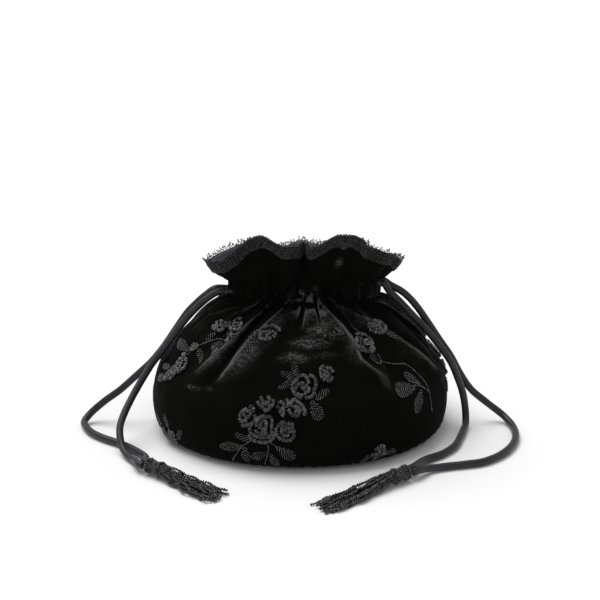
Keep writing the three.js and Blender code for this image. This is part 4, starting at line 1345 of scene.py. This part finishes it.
# Roses as ropes of padded beads: places to the right and up, in hundredths of the rose's half width.
roseRopes = dict(
    wide=[
        [(-95, -50), (-75, -75), (-25, -90), (40, -90), (85, -60), (100, -25)],
        [(-95, -10), (-80, -30), (-40, -50), (15, -55), (70, -40), (90, -10)],
        [(-90, 0), (-80, 35), (-50, 70), (-30, 85)], [(-40, 25), (-40, 65), (-15, 95), (15, 105)],
        [(-15, 10), (-10, 40), (5, 70), (25, 75)], [(30, 100), (60, 100), (75, 75), (75, 25), (75, -10)],
        [(25, 70), (35, 40), (30, 5), (5, -10)], [(-50, -5), (-25, -25), (15, -30), (45, -15)],
        [(0, 30), (10, 15)],
    ],
    full=[
        [(-90, -10), (-75, -45), (-55, -75), (-15, -95)], [(-95, 10), (-75, 35), (-50, 60)],
        [(-50, 70), (-25, 90), (10, 90), (30, 60), (40, 30)],
        [(50, 90), (80, 80), (95, 45), (95, 5), (80, -30)], [(80, -50), (55, -85), (15, -90)],
        [(-65, -30), (-50, 10), (-25, 30), (0, 30)], [(-50, -50), (-25, -70), (10, -60)],
        [(20, 15), (40, -10), (40, -40), (15, -50)], [(-15, -10), (0, 0), (15, -15), (0, -30)],
    ],
    bud=[
        [(-70, 80), (-45, 40), (-10, 20)], [(10, 85), (45, 75), (35, 40)],
        [(80, 55), (95, 15), (60, -35), (10, -80)], [(-95, 20), (-80, -10), (-30, -35), (10, -70)],
        [(-45, 10), (0, -10), (15, 25)], [(35, 20), (55, 0), (45, -25)],
    ],
    open=[
        [(-90, 20), (-80, -40), (-40, -80), (20, -95), (70, -80), (95, -30)],
        [(-75, 35), (-50, 70), (0, 90)], [(10, 60), (60, 80), (80, 60)], [(20, 30), (90, 40)],
        [(20, -5), (100, 0)], [(-30, 20), (-35, -20), (0, -50), (40, -40)],
        [(-40, 40), (-10, 50), (10, 20), (-10, 0)],
    ],
    ragged=[
        [(-85, -10), (-65, 40), (-25, 70)], [(5, 100), (45, 90), (55, 50)],
        [(-15, 50), (15, 60), (25, 20), (5, -10)], [(65, 20), (85, -10), (55, -60), (25, -90)],
        [(-85, -30), (-55, -60), (-15, -40)], [(-55, -90), (-15, -100), (15, -70)],
        [(-45, 10), (-15, 0), (-15, -30)],
    ],
    cross=[
        [(45, 115), (80, 65), (60, 10)], [(-70, 65), (-20, 80), (20, 40), (10, -15)],
        [(-75, 10), (-20, -15)], [(10, -15), (25, -65), (5, -115)], [(-40, -45), (-5, -85)],
    ],
    half=[
        [(-75, 15), (-65, 80), (-25, 95)], [(-10, 75), (45, 40), (95, -45), (80, -75)],
        [(-95, -20), (-70, -65), (-10, -90), (25, -75)], [(-45, 5), (-10, 20), (0, -30), (-25, -55)],
        [(15, 15), (40, -20), (25, -55)],
    ],
    small=[
        [(-80, 60), (-60, 95), (-20, 105)], [(-85, 30), (-80, -35), (-35, -85)],
        [(10, 70), (55, 85), (90, 20)], [(-35, 45), (20, 5), (35, -25)],
        [(-5, -100), (45, -100), (70, -45)], [(-40, -5), (-20, -50), (15, -40)],
    ],
)


def turned(drawn, angle):
    x, y = drawn[:, 0], drawn[:, 1]
    cosine, sine = math.cos(angle), math.sin(angle)
    return np.stack([x * cosine - y * sine, x * sine + y * cosine], -1)


def drawRose(pattern, size, spin):
    half = size / 2 - 0.8
    return [turned(smoothPath(np.array(rope) / 100 * half, 0.6), spin) for rope in roseRopes[pattern]]


# A leaf of slanting rows of seed beads: from its rib to both edges, or straight across if narrow.
leaf = dict(spacing=2.15, narrow=6.6, slant=0.8, least=0.7)


def drawLeaf(length, width, angle):
    rows = []
    count = max(int(length / leaf["spacing"]), 3)
    for i in range(count):
        share = (i + 0.5) / count
        half = width / 2 * math.sin(math.pi * share**0.85) ** 0.8
        slant = half * leaf["slant"]
        if half < leaf["least"]:
            continue
        if width < leaf["narrow"]:
            ends = [[(share * length - slant, -half), (share * length + slant, half)]]
        else:
            ends = [[(share * length, 0.4 * side), (share * length + slant, side * half)]
                    for side in (-1, 1)]
        for start, end in np.array(ends):
            rows.append(turned(start + (end - start) * np.linspace(0, 1, 5)[:, None], angle))
    return rows


# Each spray: roses (turn, height, size, pattern, spin), leaves from base to tip (turn, height) with
# a width, and stems as lines of places. The names are the CAD roses that it stands for.
sprays = dict(
    front=dict(
        nodes=("centre", "centre_right", "middle", "middle_left", "low_left", "low_centre", "low_right"),
        roses=[
            (0.0037, 71.1, 23, "full", 0), (0.0352, 79.4, 14, "small", 0),
            (-0.0204, 57.8, 13.5, "cross", 0), (-0.0037, 57.8, 16, "half", 0),
            (-0.0407, 59.4, 16, "bud", 0), (-0.0593, 49.5, 18, "ragged", 0),
            (-0.0426, 39.5, 24, "wide", 0), (-0.0167, 39.5, 18.5, "open", 0),
        ],
        leaves=[
            (-0.0066, 78.5, -0.0111, 87.5, 5.5), (-0.0066, 77.0, -0.0285, 81.5, 6),
            (-0.0074, 75.5, -0.0296, 70.5, 6), (0.0175, 64.0, 0.037, 68.0, 6.5),
            (0.013, 62.8, 0.0232, 48.5, 9.5), (-0.0556, 27.8, -0.0725, 34.8, 6.5),
            (-0.0625, 23.2, -0.0915, 19.5, 8), (-0.0611, 23.5, -0.0611, 9.0, 8),
            (-0.0352, 19.5, -0.0545, 13.0, 7.5), (-0.0333, 18.8, -0.0255, 6.0, 7),
            (-0.0262, 25.6, -0.0062, 15.0, 10),
        ],
        stems=[
            [(-0.0352, 29.5), (-0.0352, 19.5), (-0.0407, 7)], [(-0.0333, 29.5), (-0.0255, 25.6)],
            [(-0.0556, 28.5), (-0.0648, 22.8), (-0.0796, 6.7)],
        ],
    ),
    left=dict(
        nodes=("left_top", "left_top_small", "left_side", "left_side_low"),
        roses=[
            (-0.163, 104.4, 15.5, "bud", 0.6), (-0.1352, 107.7, 14, "small", 1.2),
            (-0.124, 102.4, 10, "cross", 2.4), (-0.1833, 72.8, 18, "ragged", 0.8),
            (-0.1907, 62.8, 15, "half", 2.2), (-0.1815, 86.1, 9, "small", 2),
        ],
        leaves=[
            (-0.187, 81.5, -0.2250, 84.5, 10), (-0.1685, 92.7, -0.1600, 100.4, 6),
            (-0.1540, 91.0, -0.1280, 93.5, 11), (-0.1700, 86.5, -0.1480, 78.4, 6),
            (-0.1950, 58.0, -0.2185, 52.8, 7), (-0.2020, 64.0, -0.2250, 62.5, 6),
        ],
        stems=[[(-0.1860, 84), (-0.1667, 91.7), (-0.148, 96.7), (-0.1259, 98.5)],
               [(-0.183, 80), (-0.1815, 86.1)]],
    ),
    shoulder=dict(
        nodes=("shoulder",), roses=[(-0.0667, 107.0, 19, "ragged", 2.1)],
        leaves=[(-0.0765, 103.0, -0.0905, 95.0, 7), (-0.083, 107.0, -0.0944, 100.5, 4.5)], stems=[],
    ),
    right=dict(
        nodes=("right_top", "right_fold"),
        roses=[(0.1444, 106.0, 17, "open", 0.5), (0.1037, 98.0, 18.5, "full", 0.9)],
        leaves=[
            (0.1560, 103.5, 0.1740, 92.5, 5.5), (0.163, 59.4, 0.1465, 71.5, 8.5),
            (0.1530, 59.4, 0.1200, 62.9, 14), (0.1611, 56.5, 0.1426, 40.1, 9),
        ],
        stems=[
            [(0.1222, 82.7), (0.1389, 79.4), (0.1556, 77.0), (0.1648, 71.1), (0.1704, 64.4),
             (0.1741, 51.1), (0.1722, 34.5)],
            [(0.1019, 89.4), (0.1093, 84.8), (0.1175, 85), (0.1185, 88.5)],
            [(0.1519, 61.1), (0.163, 58.4), (0.1741, 51.1)],
        ],
    ),
    foot_left=dict(
        nodes=(), roses=[(-0.182, 9.5, 13, "half", 0), (-0.166, 12.5, 12, "small", 0.3)],
        leaves=[(-0.195, 14, -0.208, 24, 6), (-0.158, 14, -0.145, 22, 6), (-0.175, 18, -0.178, 30, 6.5)],
        stems=[],
    ),
    foot_right=dict(
        nodes=(), roses=[(0.0915, 14.0, 15, "bud", 1)],
        leaves=[(0.100, 13, 0.115, 10, 6.5), (0.083, 11, 0.07, 7, 6)], stems=[],
    ),
    back=dict(
        nodes=("back_top", "back_middle", "back_low"),
        roses=[(0.47, 79.9, 21, "full", 0.7), (0.525, 60.5, 17, "open", 2.4), (0.495, 39.9, 23, "wide", 0),
               (0.505, 68, 14, "small", 1), (0.463, 54, 14.5, "bud", 0.4)],
        leaves=[
            (0.455, 86, 0.437, 93, 6.5), (0.485, 88, 0.495, 98, 6), (0.54, 66, 0.558, 72, 6.5),
            (0.54, 55, 0.556, 48, 8), (0.48, 32, 0.462, 24, 7.5), (0.495, 27, 0.495, 13, 8),
            (0.511, 31, 0.53, 22, 8.5), (0.452, 50, 0.434, 46, 7), (0.45, 60, 0.432, 66, 7),
        ],
        stems=[[(0.488, 30), (0.486, 18), (0.48, 8)], [(0.53, 52), (0.552, 40), (0.572, 36), (0.585, 28)]],
    ),
    right_side=dict(
        nodes=(),
        roses=[(0.28, 62, 18, "full", 0.4), (0.262, 50, 14, "bud", 1.4), (0.3, 76, 15, "half", 0)],
        leaves=[(0.293, 57, 0.31, 50, 8), (0.27, 70, 0.256, 79, 7), (0.25, 44, 0.238, 34, 7.5),
                (0.31, 80, 0.324, 88, 6.5), (0.275, 50, 0.28, 36, 7.5)],
        stems=[[(0.27, 44), (0.262, 30), (0.266, 18)]],
    ),
    left_side=dict(
        nodes=(),
        roses=[(0.68, 58, 19, "wide", 0.3), (0.7, 46, 14, "small", 1.5), (0.66, 74, 15, "ragged", 0)],
        leaves=[(0.665, 50, 0.647, 42, 8), (0.695, 68, 0.71, 76, 7), (0.71, 38, 0.72, 26, 7.5),
                (0.648, 80, 0.636, 88, 6.5)],
        stems=[[(0.69, 40), (0.685, 26), (0.675, 14)]],
    ),
)


# How long a leaf is from its base to its tip, and its angle on the cloth.
def spotsBetween(base, tip):
    level = levelOfHeight(base[1])
    right = (tip[0] - base[0]) * roundAt(level)
    rise = upAt(levelOfHeight(tip[1])) - upAt(level)
    return math.hypot(right, rise), math.atan2(rise, right)


def buildSpray(name, spray, seed):
    strung = {kind: ([], []) for kind in beadSizes}

    def put(kind, turn, height, drawn):
        points, outs = onPatch(turn, height, drawn, beadSizes[kind]["lift"])
        points[:, 2] = np.maximum(points[:, 2], 0.8)
        strung[kind][0].append(points)
        strung[kind][1].append(outs)

    for turn, height, size, pattern, spin in spray["roses"]:
        for rope in drawRose(pattern, size, spin):
            put("rope" if size > 12 else "petal", turn, height, rope)
    for turn, height, tipTurn, tipHeight, width in spray["leaves"]:
        length, angle = spotsBetween((turn, height), (tipTurn, tipHeight))
        for row in drawLeaf(length, width, angle):
            put("seed", turn, height, row)
    for stem in spray["stems"]:
        turn, height = stem[0]
        level = levelOfHeight(height)
        drawn = [((t - turn) * roundAt(level), upAt(levelOfHeight(h)) - upAt(level)) for t, h in stem]
        put("seed", turn, height, smoothPath(drawn, 1))
    made = []
    for i, (kind, (paths, outs)) in enumerate(strung.items()):
        if paths:
            look = beadSizes[kind]
            made.append(makeBeads(
                f"{name}_{kind}", paths, outs, look["pitch"], look["size"], gunmetal, seed + i, 0.09))
    piece = joinPieces("embroidery_" + name, made)
    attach(piece, "root")
    if spray["nodes"]:
        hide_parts(*["rose_" + node for node in spray["nodes"]])


for seed, (name, spray) in enumerate(sprays.items()):
    buildSpray(name, spray, 40 + 5 * seed)
print("stage: embroidery")


# Plain studio light: the floor's paleness, the sky's and the lamp's strength, and the lamp's width and
# lean in degrees.
studio = dict(floor=0.92, sky=0.52, sun=2.1, softness=50, lean=(-18, -14))


def makeStage():
    half = 3000
    floor = makeMesh("floor", [(-half, -half, 0), (half, -half, 0), (half, half, 0), (-half, half, 0)],
                     [(0, 1, 2, 3)])
    floor.location.z = -0.0002
    paint = Paint("pale_floor", {"Roughness": 0.9, "Specular IOR Level": 0.1})
    grain = paint.noise(paint.place(), 40, 2, 0.5)
    tint = paint.colour(grain, (studio["floor"],) * 3, (studio["floor"] + 0.01,) * 3)
    floor.data.materials.append(paint.finish(colour=tint))
    world = bpy.data.worlds.new("studio")
    bpy.context.scene.world = world
    world.use_nodes = True
    sky = world.node_tree.nodes["Background"]
    sky.inputs["Color"].default_value = (1, 1, 1, 1)
    sky.inputs["Strength"].default_value = studio["sky"]


# One wide soft lamp, far above and a little behind the bag's right.
def makeSun():
    data = bpy.data.lights.new("softbox", "SUN")
    data.energy = studio["sun"]
    data.angle = math.radians(studio["softness"])
    lamp = addObject("softbox", data)
    lamp.rotation_euler = [math.radians(turn) for turn in (studio["lean"][1], studio["lean"][0], 0)]


makeStage()
makeSun()
bpy.context.scene.view_settings.view_transform = "Standard"

print("stage: ready")
